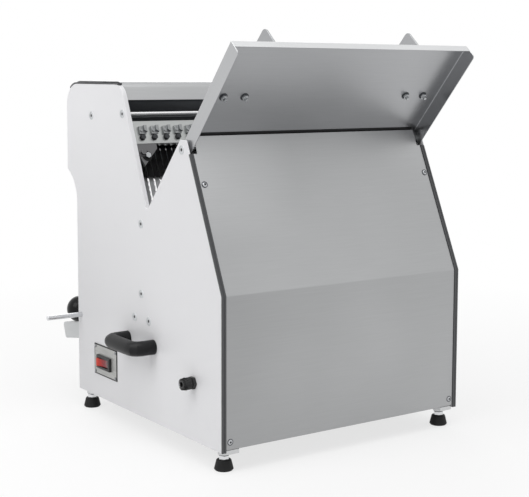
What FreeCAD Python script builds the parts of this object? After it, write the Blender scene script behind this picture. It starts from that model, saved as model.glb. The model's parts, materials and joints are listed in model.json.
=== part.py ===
import FreeCAD, Part
import math
import os
import Sketcher
from types import SimpleNamespace
from FreeCAD import Placement, Rotation, Vector

# Countertop bread slicer: two slotted blade frames between two white side plates,
# loaded through a V notch under a hinged lid, with bow handles and a rocker switch.
#
# Machine frame: X across the blades, Y backwards from the face of the back trim,
# Z up from the lower edge of the side plates. Millimetres and degrees.

doc = FreeCAD.newDocument("BreadSlicer")
sheet = doc.addObject("Spreadsheet::Sheet", "Sizes")

SIZES = {
    # Whole machine
    "body_width": 502, "body_depth": 507, "plate_height": 579, "foot_height": 35,
    "plate_thick": 8, "plate_skin": 2, "trim_thick": 3, "sheet_thick": 1.5,
    "slide_gap": 0.3, "turn_gap": 0.05,
    # Side plate outline
    "bend_height": 252, "back_slope": 66, "trim_top": 470,
    "peak_height": 491.5, "peak_front": 127, "notch_depth": 239, "notch_height": 364.5,
    "notch_slope": 67.5, "notch_radius": 4, "hood_radius": 31, "hood_rise": 2.7, "nose_radius": 41,
    "nose_reach": 38, "cove_height": 357, "cove_radius": 68,
    "groove_width": 1.2, "groove_depth": 0.8, "top_trim_start": 338, "top_trim_angle": 52,
    # Back panel
    "panel_recess": 1.5, "panel_bottom": 4, "panel_top": 498, "panel_notch": 7.5,
    "panel_screw_inset": 16, "panel_screw_low": 16.5, "panel_screw_high": 421,
    # Lid, hinge and pushers
    "lid_angle": 48.7, "lid_length": 212.7, "lid_inset": 5.9, "lid_flange": 28.5,
    "lid_lip": 13.4, "lid_edge_y": 15.2, "lid_edge_z": 648.2,
    "pivot_along": 220.1, "pivot_drop": 11.1, "ear_radius": 13, "hinge_radius": 5,
    "pocket_radius": 30, "pusher_step": 20.5, "pusher_thick": 3, "pusher_height": 51,
    "lid_corner": 6, "pusher_start": 12, "pusher_end": 150, "pusher_radius": 9,
    "pusher_slope": 46, "pusher_toe": 8, "pusher_foot": 54, "pusher_margin": 14,
    "stud_along": 114, "stud_side": 34.1, "stud_spacing": 40.5, "stud_radius": 3,
    "stud_reach": 10, "stud_head": 4, "nut_radius": 6, "nut_height": 5,
    "buffer_width": 7, "buffer_inset": 13,
    # Blades and their frames, measured along and square to the blade plane
    "blade_y": 312, "blade_z": 430, "blade_pitch": 12, "blade_margin": 9,
    "blade_width": 16, "blade_thick": 1, "bar_thick": 12, "bar_height": 43,
    "upper_bar": 40.7, "lower_bar": -235, "side_bar_width": 12, "guide_thick": 4.4,
    "guide_width": 46, "guide_length": 40, "guide_upper": -60, "guide_lower": -225,
    "stroke": 8, "clamp_width": 13, "clamp_height": 18, "clamp_thick": 5,
    "hook_width": 5.9, "hook_height": 6, "clamp_screw": 5.6, "clamp_washer": 6.6,
    "gusset_width": 46.5, "gusset_height": 41, "gusset_rim": 9, "gusset_thick": 5,
    "gusset_inset": 3.4, "gusset_washer": 7.5, "gusset_bolt": 5.5,
    # Cross rods and rails, by their depth and height
    "rod_radius": 5, "tie_radius": 3.5, "rail_size": 16,
    "rod_front_inset": 64.3, "rod_front_drop": 57.3, "rod_upper_y": 323.6,
    "rod_upper_drop": 51, "feed_rod_gap": 15.6, "feed_rod_drop": 23.9,
    "rod_lower_y": 260, "rod_lower_z": 218.7, "rail_front_y": 284.8, "rail_back_y": 234.4,
    "rail_z": 174.5,
    # Feed table, chute and outlet shelf
    "feed_start": 146, "feed_thick": 2, "finger_width": 9.6, "finger_length": 18,
    "chute_kink": 97, "chute_end": 23, "chute_end_z": 153,
    "shelf_reach": 89, "shelf_drop": 33, "shelf_nose": 30, "shelf_rake": 11,
    "shelf_tilt": 10.2, "shelf_top": 128, "shelf_radius": 6, "shelf_wall": 2.5,
    "shelf_rod_inset": 12, "shelf_rod_z": 144.5, "shelf_rod_out": 70, "shelf_rod_radius": 4.5,
    "grip_radius": 25.5, "grip_sink": 2.5, "grip_inset": 20, "grip_ahead": 29, "grip_stud": 4,
    # Drive
    "shaft_y": 190, "shaft_z": 120, "shaft_radius": 8, "pulley_radius": 52,
    "pulley_width": 16, "pulley_rim": 4, "eccentric_width": 14,
    "motor_y": 305, "motor_z": 108, "motor_radius": 52, "motor_length": 170,
    "motor_cap": 16, "motor_shaft": 7, "mount_thick": 8, "mount_front": 30, "mount_inset": 20,
    "motor_pulley_radius": 28, "belt_width": 12, "belt_thick": 3, "drive_inset": 46,
    "conrod_inset": 101, "yoke_step": 48, "yoke_thick": 8, "yoke_reach": 26, "yoke_gap": 1.5,
    "yoke_cheek": 7, "yoke_bar": 6, "yoke_post": 21.4, "yoke_side": 7.7,
    "block_size": 62, "block_thick": 4, "block_radius": 24, "block_length": 14,
    # Handles, switch and cable gland
    "handle_y": 264.5, "handle_z": 132.2, "handle_spacing": 91, "handle_radius": 13,
    "handle_reach": 37, "handle_bend": 13.5, "switch_y": 395.2, "switch_z": 72,
    "switch_width": 88, "switch_height": 57, "bezel_length": 52, "bezel_height": 27,
    "rocker_y": 398, "rocker_z": 69.5, "rocker_half": 19, "rocker_tilt": 7,
    "switch_margin": 2.6, "rocker_pin": 2,
    "gland_y": 87, "gland_z": 97.6, "gland_radius": 10, "gland_length": 23,
    "gland_hex": 10.6, "gland_hex_height": 6,
    # Feet and crumb tray
    "foot_inset": 19, "foot_back": 25.3, "foot_front": 16, "foot_radius": 16.4, "foot_bolt": 5,
    "pad_height": 18, "bracket_length": 26, "bracket_width": 44, "bracket_thick": 7.3,
    "bracket_drop": 4.5,
    "tray_height": 36, "tray_inset": 46, "tray_depth": 420, "panel_front_top": 124,
}
for row, (name, value) in enumerate(SIZES.items(), start=1):
    sheet.set(f"A{row}", name)
    sheet.set(f"B{row}", str(value))
    sheet.setAlias(f"B{row}", name)
doc.recompute()
d = SimpleNamespace(**SIZES)

# Places that follow the plates' outer faces and their front edge.
HALF = d.body_width / 2
INNER = HALF - d.plate_thick
LID_HALF = "(Sizes.body_width / 2 - Sizes.lid_inset)"
TRAY_HALF = "(Sizes.body_width / 2 - Sizes.tray_inset)"
lid_half = HALF - d.lid_inset
SWITCH_HOLE = "2 * (Sizes.rocker_half + Sizes.switch_margin)"
switch_half = d.rocker_half + d.switch_margin
stud_outer = lid_half - d.stud_side
stud_inner = stud_outer - d.stud_spacing
pusher_x = stud_inner - d.pusher_step
tray_half = HALF - d.tray_inset
shelf_rod_y = d.body_depth - d.shelf_rod_inset
drive_x = d.drive_inset - HALF
yoke_x = HALF - d.conrod_inset


def sin(angle):
    return math.sin(math.radians(angle))


def cos(angle):
    return math.cos(math.radians(angle))


def tan(angle):
    return math.tan(math.radians(angle))


# The lid's own frame: origin on its upper edge, X across, Y down the lid, Z off its
# hollow face. The lid's reach behind the trim and the reach of the shelf's rounded front
# edge set the middle of the part.
LID_TURN = Rotation(Vector(1, 0, 0), 180 + d.lid_angle)
LID = Placement(Vector(0, d.lid_edge_y, d.lid_edge_z), LID_TURN)
lid_back = LID.multVec(Vector(0, d.lid_corner, d.lid_flange - d.lid_corner)).y + d.lid_corner
shelf_lean = math.degrees(math.atan(d.shelf_rake / d.shelf_nose))
edge_half = (90 + d.shelf_tilt - shelf_lean) / 2
edge_middle = (450 - d.shelf_tilt - shelf_lean) / 2
edge_loss = -d.shelf_radius * (cos(edge_middle) / sin(edge_half) + 1)
front_reach = d.body_depth + d.shelf_reach - edge_loss
ORIGIN_Y = (front_reach - lid_back) / 2
MACHINE = Placement(Vector(0, ORIGIN_Y, d.foot_height), Rotation())
PIVOT = LID.multVec(Vector(0, d.pivot_along, d.pivot_drop))

# The blade frame of reference: Z along the blades, Y towards the loaf.
BLADES = Placement(Vector(0, -d.blade_y, d.blade_z), Rotation(Vector(1, 0, 0), 90 - d.notch_slope))

parts = []


# --- Helpers -------------------------------------------------------------------------

def keep(item, label):
    """Names a finished sub-part and moves it from the machine frame to the shared one."""
    item.Label = label
    item.Placement = MACHINE.multiply(item.Placement)
    parts.append(item)
    return item


def bind(item, **rules):
    for prop, rule in rules.items():
        item.setExpression(prop, rule)
    return item


def block(size, corner):
    """Box with its three lengths read from the sheet."""
    item = doc.addObject("Part::Box", "Block")
    bind(item, Length=size[0], Width=size[1], Height=size[2])
    item.Placement.Base = Vector(*corner)
    return item


def bar(radius, length, start, axis=(1, 0, 0)):
    """Round bar along an axis, radius and length read from the sheet."""
    item = doc.addObject("Part::Cylinder", "Bar")
    bind(item, Radius=radius, Height=length)
    item.Placement = Placement(Vector(*start), Rotation(Vector(0, 0, 1), Vector(*axis)))
    return item


def cone(lower, upper, height, start, axis=(0, 0, 1)):
    item = doc.addObject("Part::Cone", "Cone")
    bind(item, Radius1=lower, Radius2=upper, Height=height)
    item.Placement = Placement(Vector(*start), Rotation(Vector(0, 0, 1), Vector(*axis)))
    return item


def hexagon(across, height, start, axis=(0, 0, 1)):
    item = doc.addObject("Part::Prism", "Hexagon")
    item.Polygon = 6
    bind(item, Circumradius=across, Height=height)
    item.Placement = Placement(Vector(*start), Rotation(Vector(0, 0, 1), Vector(*axis)))
    return item


def joined(items):
    item = doc.addObject("Part::MultiFuse", "Joined")
    item.Shapes = items
    return item


def cut(base, tools):
    item = doc.addObject("Part::Cut", "Cut")
    item.Base = base
    item.Tool = tools[0] if len(tools) == 1 else joined(tools)
    return item


def group(items):
    """Several separate solids of one sub-part."""
    item = doc.addObject("Part::Compound", "Group")
    item.Links = items
    return item


def placed(items, placement):
    """Moves items that were drawn in a tilted frame into the machine frame."""
    for item in items:
        item.Placement = placement.multiply(item.Placement)
    return items


def sketch_on(body, plane, offset):
    sketch = body.newObject("Sketcher::SketchObject", "Sketch")
    faces = [face for face in body.Origin.OriginFeatures if face.Role == plane]
    sketch.AttachmentSupport = [(faces[0], "")]
    sketch.MapMode = "FlatFace"
    sketch.setExpression("AttachmentOffset.Base.z", str(offset))
    return sketch


def outline(sketch, corners):
    """Closed outline whose corners are pairs of rules or plain numbers."""
    rules = [(str(across), str(up)) for across, up in corners]
    spots = [Vector(*[float(sheet.evalExpression(rule)) for rule in pair], 0) for pair in rules]
    count = len(spots)
    for index in range(count):
        sketch.addGeometry(Part.LineSegment(spots[index], spots[(index + 1) % count]), False)
    for index in range(count):
        ends = (index, 2, (index + 1) % count, 1)
        sketch.addConstraint(Sketcher.Constraint("Coincident", *ends))
    for index, (across, up) in enumerate(rules):
        for kind, rule, size in (("DistanceX", across, spots[index].x),
                                 ("DistanceY", up, spots[index].y)):
            number = sketch.addConstraint(Sketcher.Constraint(kind, -1, 1, index, 1, size))
            sketch.setExpression(f"Constraints[{number}]", rule)


def pad(body, plane, corners, length, offset="0", midplane=False):
    """Pads an outline; the length is a rule. Returns the pad."""
    sketch = sketch_on(body, plane, offset)
    outline(sketch, corners)
    feature = body.newObject("PartDesign::Pad", "Pad")
    feature.Profile = sketch
    feature.Midplane = midplane
    bind(feature, Length=length)
    doc.recompute()
    return feature


def new_body():
    return doc.addObject("PartDesign::Body", "Body")


def round_edges(body, radius, spots, direction):
    """Fillets the straight edges along a direction that pass through the given spots."""
    base = body.Tip
    names = []
    for number, edge in enumerate(body.Shape.Edges, start=1):
        if edge.Curve.TypeId != "Part::GeomLine":
            continue
        if abs(edge.tangentAt(edge.FirstParameter).dot(Vector(*direction))) < 0.999:
            continue
        for spot in spots:
            line = edge.Curve
            if Vector(*spot).distanceToLine(line.Location, line.Direction) < 0.01:
                names.append(f"Edge{number}")
    fillet = body.newObject("PartDesign::Fillet", "Round")
    fillet.Base = (base, names)
    bind(fillet, Radius=radius)
    doc.recompute()
    return fillet


def sheet_outline(path, thick):
    """Outline of a bent sheet: the path and the same path moved square to itself."""
    moved = []
    last = len(path) - 1
    for index, point in enumerate(path):
        before = path[max(index - 1, 0)]
        after = path[min(index + 1, last)]
        first = Vector(*point, 0) - Vector(*before, 0) if index else None
        second = Vector(*after, 0) - Vector(*point, 0) if index < last else None
        first = (first or second).normalize() if first else Vector(second).normalize()
        second = Vector(second).normalize() if second else first
        bisector = (Vector(-first.y, first.x, 0) + Vector(-second.y, second.x, 0)).normalize()
        stretch = thick / bisector.dot(Vector(-first.y, first.x, 0))
        moved.append((point[0] + bisector.x * stretch, point[1] + bisector.y * stretch))
    return list(path) + moved[::-1]


# --- Side plates and their trim ---------------------------------------------------------

# The outline's rules; Y is negative towards the operator.
BACK_RULE = "(({height}) - Sizes.bend_height) / tan(Sizes.back_slope * 1 deg)"


def back_line(height, inward="0"):
    """Rule for the depth of the slanted back edge at a height, moved inward."""
    lean = BACK_RULE.format(height=height)
    return f"-({lean}) - ({inward}) / sin(Sizes.back_slope * 1 deg)"


PEAK = "Sizes.peak_height"
TRIM = "Sizes.trim_thick"
notch_top = ("-Sizes.notch_depth - (Sizes.plate_height - Sizes.notch_height)"
             " / tan(Sizes.notch_slope * 1 deg)")
trim_bend = "Sizes.bend_height - Sizes.trim_thick * tan(45 deg - Sizes.back_slope * 0.5 deg)"
trim_end_y = f"{back_line('Sizes.trim_top')} - {TRIM} * sin(Sizes.back_slope * 1 deg)"
trim_end_z = f"Sizes.trim_top - {TRIM} * cos(Sizes.back_slope * 1 deg)"
nose_y = "-Sizes.body_depth - Sizes.nose_reach"

cove_angle = math.acos(1 - d.nose_reach / d.cove_radius)
nose_bottom = d.cove_height + d.cove_radius * math.sin(cove_angle)

PLATE_CORNERS = [
    ("-Sizes.trim_thick", "0"),
    ("-Sizes.body_depth", "0"),
    ("-Sizes.body_depth", "Sizes.plate_height"),
    (notch_top, "Sizes.plate_height"),
    ("-Sizes.notch_depth", "Sizes.notch_height"),
    ("-Sizes.peak_front", PEAK),
    (back_line(PEAK), PEAK),
    (back_line("Sizes.trim_top"), "Sizes.trim_top"),
    (trim_end_y, trim_end_z),
    ("-Sizes.trim_thick", trim_bend),
]

# Countersunk screws in each plate, by depth and height; they hold the cross rods.
feed_rod_z = d.notch_height - d.feed_rod_drop
feed_rod_y = d.blade_y - d.feed_rod_gap - (d.blade_z - feed_rod_z) / tan(d.notch_slope)
ROD_SPOTS = {
    "tie_rod_front": (d.body_depth - d.rod_front_inset, d.plate_height - d.rod_front_drop),
    "tie_rod_upper": (d.rod_upper_y, d.plate_height - d.rod_upper_drop),
    "tie_rod_feed": (feed_rod_y, feed_rod_z),
    "tie_rod_lower": (d.rod_lower_y, d.rod_lower_z),
    "motor_rail_front": (d.rail_front_y, d.rail_z),
    "motor_rail_back": (d.rail_back_y, d.rail_z),
}
SCREW_SPOTS = list(ROD_SPOTS.values()) + [(-PIVOT.y, PIVOT.z)]


def side_plate(side):
    body = new_body()
    offset = "Sizes.body_width / 2 - Sizes.plate_thick" if side > 0 else "-Sizes.body_width / 2"
    pad(body, "YZ_Plane", PLATE_CORNERS, "Sizes.plate_thick", offset)
    near = INNER if side > 0 else -HALF
    tip = (near, -d.notch_depth, d.notch_height)
    round_edges(body, "Sizes.notch_radius", [tip], (1, 0, 0))
    crown = (near, float(sheet.evalExpression(notch_top)), d.plate_height)
    round_edges(body, "Sizes.hood_radius", [crown], (1, 0, 0))
    # The nose that overhangs the front edge, with a cove under it.
    nose = new_body()
    pad(nose, "YZ_Plane", [
        ("-Sizes.body_depth + 60", "Sizes.cove_height"),
        (nose_y, "Sizes.cove_height"),
        (nose_y, "Sizes.plate_height"),
        ("-Sizes.body_depth + 60", "Sizes.plate_height"),
    ], "Sizes.plate_thick", offset)
    round_edges(nose, "Sizes.nose_radius",
                [(near, -d.body_depth - d.nose_reach, d.plate_height)], (1, 0, 0))
    cove = bar("Sizes.cove_radius", "Sizes.plate_thick",
               (near, -d.body_depth - d.cove_radius, d.cove_height))
    plate = joined([body, cut(nose, [cove])])
    tools = [bar("Sizes.pocket_radius", "Sizes.plate_thick - Sizes.plate_skin",
                 (INNER if side > 0 else -HALF + d.plate_skin, PIVOT.y, PIVOT.z))]
    for depth, height in SCREW_SPOTS:
        tools.append(bar("5.2", "Sizes.plate_thick", (near, -depth, height)))
    for leg in (-1, 1):
        tools.append(bar("4.2", "Sizes.plate_thick",
                         (near, -d.handle_y + leg * d.handle_spacing / 2, d.handle_z)))
    if side > 0:
        tools.append(bar("8.2", "Sizes.plate_thick", (near, -d.gland_y, d.gland_z)))
        tools.append(block(("Sizes.plate_thick", SWITCH_HOLE, "22"),
                           (near, -d.rocker_y - switch_half, d.rocker_z - 11)))
    tools.append(bar("Sizes.shelf_rod_radius + Sizes.slide_gap / 2", "Sizes.plate_thick",
                     (near, -shelf_rod_y, d.shelf_rod_z)))
    return cut(plate, tools)


def back_trim(side):
    offset = INNER if side > 0 else -HALF
    body = new_body()
    pad(body, "YZ_Plane", [
        ("0", "0"),
        ("0", "Sizes.bend_height"),
        (back_line("Sizes.trim_top"), "Sizes.trim_top"),
        (trim_end_y, trim_end_z),
        ("-Sizes.trim_thick", trim_bend),
        ("-Sizes.trim_thick", "0"),
    ], "Sizes.plate_thick", offset)
    groove = new_body()
    groove_bend = trim_bend.replace("Sizes.trim_thick", "Sizes.groove_depth")
    pad(groove, "YZ_Plane", [
        ("0", "0"),
        ("0", "Sizes.bend_height"),
        (back_line("Sizes.trim_top"), "Sizes.trim_top"),
        (back_line("Sizes.trim_top", "Sizes.groove_depth"), "Sizes.trim_top"),
        ("-Sizes.groove_depth", groove_bend),
        ("-Sizes.groove_depth", "0"),
    ], "Sizes.groove_width", offset + (d.plate_thick - d.groove_width) / 2)
    return cut(body, [groove])


def top_trim(side):
    near = INNER if side > 0 else -HALF
    centre_y = -d.body_depth - d.nose_reach + d.nose_radius
    centre_z = d.plate_height - d.nose_radius
    flat = block(("Sizes.plate_thick", "Sizes.body_depth + Sizes.nose_reach - Sizes.nose_radius"
                  " - Sizes.top_trim_start", "Sizes.trim_thick"),
                 (near, centre_y, d.plate_height))
    # The sector runs from straight up towards the operator.
    turned = Rotation(Vector(0, 0, 1), Vector(0, -1, 0), Vector(1, 0, 0), "ZXY")
    outer = bar("Sizes.nose_radius + Sizes.trim_thick", "Sizes.plate_thick", (0, 0, 0))
    inner = bar("Sizes.nose_radius", "Sizes.plate_thick", (0, 0, 0))
    for item in (outer, inner):
        item.Placement = Placement(Vector(near, centre_y, centre_z), turned)
        bind(item, Angle="90 - Sizes.top_trim_angle")
    return joined([flat, cut(outer, [inner])])


for side, name in ((1, "right"), (-1, "left")):
    keep(side_plate(side), f"side_plate_{name}")
    keep(back_trim(side), f"back_trim_{name}")
    keep(top_trim(side), f"top_trim_{name}")


def plate_screw(side, depth, height, length="Sizes.plate_thick"):
    """Flush socket screw through a side plate; its head is level with the white face."""
    outward = Vector(side, 0, 0)
    face = Vector(side * HALF, -depth, height)
    head = bar("5", "2.2", face - outward * 2.2, outward)
    socket = hexagon("2.6", "1.6", face - outward * 1.6, outward)
    shank = bar("2.5", f"{length} - 2.2", face - outward * 2.2, -outward)
    return joined([cut(head, [socket]), shank])


screws = []
for side in (1, -1):
    for depth, height in ROD_SPOTS.values():
        screws.append(plate_screw(side, depth, height))
    screws.append(plate_screw(side, -PIVOT.y, PIVOT.z, "Sizes.plate_skin + 0.4"))
keep(group(screws), "plate_screws")


# --- Sheet metal between the plates ------------------------------------------------------

SPAN = "Sizes.body_width - 2 * Sizes.plate_thick - 2 * Sizes.slide_gap"
GAP = INNER - d.slide_gap


def value(rule):
    return float(sheet.evalExpression(rule))


def text(path):
    return [(f"{across:.4f}", f"{up:.4f}") for across, up in path]


bend_z = d.bend_height - d.panel_recess * math.tan(math.radians(45 - d.back_slope / 2))
panel_top_y = value(back_line("Sizes.panel_top", "Sizes.panel_recess"))
panel = new_body()
pad(panel, "YZ_Plane", text(sheet_outline([
    (-d.panel_recess, d.panel_bottom),
    (-d.panel_recess, bend_z),
    (panel_top_y, d.panel_top),
], d.sheet_thick)), SPAN, midplane=True)
notches = []
for side in (1, -1):
    corner = GAP - d.panel_notch if side > 0 else -GAP
    notches.append(block(("Sizes.panel_notch", "60", "60"),
                         (corner, panel_top_y - 30, d.trim_top)))
holes = []
panel_screws = []
slant = Vector(0, sin(d.back_slope), cos(d.back_slope))
screw_x = INNER - d.panel_screw_inset / 2
high_y = value(back_line("Sizes.panel_screw_high", "Sizes.panel_recess"))
for side in (1, -1):
    for face, outward in ((Vector(side * screw_x, -d.panel_recess, d.panel_screw_low), Vector(0, 1, 0)),
                          (Vector(side * screw_x, high_y, d.panel_screw_high), slant)):
        holes.append(bar("2.2", "Sizes.sheet_thick + 2", face + outward, -outward))
        head = cone("4.6", "3", "2.4", face, outward)
        socket = hexagon("1.7", "1.4", face + outward, outward)
        shank = bar("2", "8", face, -outward)
        panel_screws.append(joined([cut(head, [socket]), shank]))
keep(cut(panel, notches + holes), "back_panel")
keep(group(panel_screws), "panel_screws")

# Top hood: over the top between the plates, down the nose and a little into the notch.
hood_slope_y = -d.blade_y - 16
hood_top_z = d.plate_height + d.trim_thick + d.hood_rise
hood_lip_z = 552
hood_corner_y = hood_slope_y - (hood_top_z - hood_lip_z) / tan(d.notch_slope)
hood_front_y = -d.body_depth - d.nose_reach - d.trim_thick
hood = new_body()
pad(hood, "YZ_Plane", text(sheet_outline([
    (hood_slope_y, hood_lip_z),
    (hood_corner_y, hood_top_z),
    (hood_front_y, hood_top_z),
    (hood_front_y, nose_bottom + 6),
], d.sheet_thick)), SPAN, midplane=True)
inner_corner_y = hood_corner_y - d.sheet_thick * tan(d.notch_slope / 2)
HOOD_BENDS = ((hood_corner_y, inner_corner_y, 20),
              (hood_front_y, hood_front_y + d.sheet_thick, d.nose_radius + d.trim_thick))
for outer_y, inner_y, radius in HOOD_BENDS:
    round_edges(hood, f"{radius} - Sizes.sheet_thick",
                [(0, inner_y, hood_top_z - d.sheet_thick)], (1, 0, 0))
    round_edges(hood, f"{radius}", [(0, outer_y, hood_top_z)], (1, 0, 0))
keep(hood, "top_hood")

base = new_body()
pad(base, "YZ_Plane", text([(-3.5, 3), (-d.body_depth + 2, 3), (-d.body_depth + 2, 5), (-3.5, 5)]),
    SPAN, midplane=True)
keep(base, "base_pan")

front_y = -d.body_depth + 1.5
front = block((SPAN, "Sizes.sheet_thick", "Sizes.panel_front_top - 5.3"),
              (-GAP, front_y - d.sheet_thick, 5.3))
mouth = block((f"2 * {TRAY_HALF} + 4", "10", "Sizes.tray_height + 2"),
              (-tray_half - 2, front_y - 5, 5))
keep(cut(front, [mouth]), "front_panel")


# --- Rods and rails between the plates ---------------------------------------------------

for name, (depth, height) in ROD_SPOTS.items():
    if name.startswith("motor"):
        continue
    radius = "Sizes.tie_radius" if name == "tie_rod_upper" else "Sizes.rod_radius"
    start = (-GAP, -depth, height)
    keep(cut(bar(radius, SPAN, start),
             [bar("2.2", "12", (side * GAP - 6, -depth, height)) for side in (1, -1)]), name)
rails = []
for name in ("motor_rail_front", "motor_rail_back"):
    depth, height = ROD_SPOTS[name]
    corner = (-GAP, -depth - d.rail_size / 2, height - d.rail_size / 2)
    rails.append(block((SPAN, "Sizes.rail_size", "Sizes.rail_size"), corner))
keep(group(rails), "motor_rails")

hinge_reach = HALF - d.plate_skin - 0.8
keep(bar("Sizes.hinge_radius", f"{2 * hinge_reach:.3f}", (-hinge_reach, PIVOT.y, PIVOT.z)),
     "hinge_rod")


# --- Feed table and outlet chute ---------------------------------------------------------

table_slope = (d.peak_height - d.notch_height) / (d.notch_depth - d.peak_front)
table_angle = math.degrees(math.atan(table_slope))


def table_z(depth):
    """Height of the loading slope at a depth from the back."""
    return d.notch_height + (d.notch_depth - depth) * table_slope


feed_end = feed_rod_y - d.rod_radius - 1.2
table = new_body()
pad(table, "YZ_Plane", text(sheet_outline([
    (-d.feed_start, table_z(d.feed_start) - 22),
    (-d.feed_start, table_z(d.feed_start)),
    (-feed_end, table_z(feed_end)),
], d.feed_thick)), SPAN, midplane=True)
# The frames' side bars run past the corners of the table and the chute.
frame_half = GAP - d.guide_thick - d.slide_gap
blades_aside = int((frame_half - d.side_bar_width - d.blade_margin) // d.blade_pitch)
finger_half = frame_half - d.side_bar_width - 2
corner_cuts = [block(("40", "22", "60"), (x, -feed_end - 8, table_z(feed_end) - 30))
               for x in (finger_half, -finger_half - 40)]
keep(cut(table, corner_cuts), "feed_table")

rail = block((SPAN, "14", "14"), (-GAP, 0, -14))
rail_start = d.feed_start + 8
# The rail hangs under the slope, in front of the table's lip.
rail.Placement = Placement(
    Vector(-GAP, -rail_start, table_z(rail_start) - d.feed_thick / cos(table_angle)),
    Rotation(Vector(1, 0, 0), table_angle)).multiply(Placement(Vector(0, -28, -14), Rotation()))
keep(rail, "feed_rail")

chute_start = feed_rod_y + d.rod_radius + 1.4
chute = new_body()
pad(chute, "YZ_Plane", text(sheet_outline([
    (-chute_start, table_z(chute_start)),
    (d.chute_kink - d.body_depth, table_z(d.body_depth - d.chute_kink)),
    (d.chute_end - d.body_depth, d.chute_end_z),
], d.feed_thick)), SPAN, midplane=True)
slots = [block(("40", "40", "90"), (x, -chute_start - 38, table_z(chute_start) - 80))
         for x in (finger_half, -finger_half - 40)]
slot_width = d.blade_pitch - d.finger_width
for index in range(-blades_aside, blades_aside + 1):
    x = index * d.blade_pitch
    slots.append(block(("Sizes.blade_pitch - Sizes.finger_width", "Sizes.finger_length + 2", "90"),
                       (x - slot_width / 2, -chute_start - d.finger_length,
                        table_z(chute_start) - 80)))
keep(cut(chute, slots), "outlet_chute")


# --- Blade frames -----------------------------------------------------------------------

# Frame "rear" carries every second blade and stands on the loaf's side of the blade plane;
# frame "front" carries the others on the far side. They slide in opposite directions.
FACE = d.blade_width / 2 + d.slide_gap
SHAFT = BLADES.inverse().multVec(Vector(0, -d.shaft_y, d.shaft_z))


def blade_spots(first):
    """Places across the machine of every second blade."""
    return [index * d.blade_pitch for index in range(first - blades_aside, blades_aside + 1, 2)]


def blade_frame(side):
    """Flat bars screwed together: two cross bars, two side bars and two yokes on posts."""
    low_y = FACE if side > 0 else -FACE - d.bar_thick
    width = f"{2 * frame_half}"
    pieces = [block((width, "Sizes.bar_thick", "Sizes.bar_height"), (-frame_half, low_y, bottom))
              for bottom in (d.upper_bar, d.lower_bar)]
    for x in (-frame_half, frame_half - d.side_bar_width):
        if side > 0:
            # The rear side bars stand in the blade plane, clear of the feed table's rod.
            low, depth = d.slide_gap - d.blade_width / 2, "Sizes.blade_width"
            bottom, height = d.lower_bar, "Sizes.upper_bar + Sizes.bar_height - Sizes.lower_bar"
        else:
            low, depth = low_y, "Sizes.bar_thick"
            bottom, height = d.lower_bar + d.bar_height, "Sizes.upper_bar - Sizes.bar_height - Sizes.lower_bar"
        pieces.append(block(("Sizes.side_bar_width", depth, height), (x, low, bottom)))
    for x in (-yoke_x, yoke_x) if side > 0 else (d.yoke_step - yoke_x, yoke_x - d.yoke_step):
        pieces += yoke(x - d.yoke_thick / 2, low_y if side > 0 else d.yoke_side - d.yoke_post)
    return group(placed(pieces, BLADES))


def yoke(x, post_y):
    """Open window of four flat bars round the shaft's eccentric, on a post."""
    reach = d.yoke_reach + d.yoke_gap
    travel = reach + d.stroke
    across = "2 * (Sizes.yoke_reach + Sizes.yoke_gap + Sizes.yoke_cheek)"
    along = "2 * (Sizes.yoke_reach + Sizes.yoke_gap + Sizes.stroke)"
    pieces = [block(("Sizes.yoke_thick", across, "Sizes.yoke_bar"),
                    (x, SHAFT.y - reach - d.yoke_cheek, z))
              for z in (SHAFT.z + travel, SHAFT.z - travel - d.yoke_bar)]
    for y in (SHAFT.y + reach, SHAFT.y - reach - d.yoke_cheek):
        pieces.append(block(("Sizes.yoke_thick", "Sizes.yoke_cheek", along),
                            (x, y, SHAFT.z - travel)))
    foot = SHAFT.z + travel + d.yoke_bar
    pieces.append(block(("Sizes.yoke_thick", "Sizes.yoke_post", f"{d.lower_bar - foot}"),
                        (x, post_y, foot)))
    return pieces


def blade_set(first):
    pieces = []
    for x in blade_spots(first):
        pieces.append(block(("Sizes.blade_thick", "Sizes.blade_width",
                             "Sizes.upper_bar + Sizes.bar_height - Sizes.lower_bar"),
                            (x - d.blade_thick / 2, -d.blade_width / 2, d.lower_bar)))
    return group(placed(pieces, BLADES))


def clamp_set(side, first):
    """Hooked blade clamps, each with a hexagon screw, on the upper bar's outer face."""
    face = side * (FACE + d.bar_thick)
    out = (0, side, 0)
    middle = d.upper_bar + d.bar_height / 2
    clamps = []
    for x in blade_spots(first):
        low = face if side > 0 else face - d.clamp_thick
        plate = block(("Sizes.clamp_width", "Sizes.clamp_thick", "Sizes.clamp_height"),
                      (x - d.clamp_width / 2, low, middle - d.clamp_height / 6))
        nib = block(("Sizes.hook_width", "Sizes.clamp_thick * 2", "Sizes.hook_height"),
                    (x - d.clamp_width / 2, face if side > 0 else face - 2 * d.clamp_thick,
                     middle + d.clamp_height / 2))
        screw_at = (x + d.blade_thick, face, middle - d.clamp_height / 2)
        screw = hexagon("Sizes.clamp_screw", "Sizes.clamp_thick + 2", screw_at, out)
        washer = bar("Sizes.clamp_washer", "1", screw_at, out)
        clamps.append(joined([plate, nib, screw, washer]))
    return group(placed(clamps, BLADES))


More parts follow.
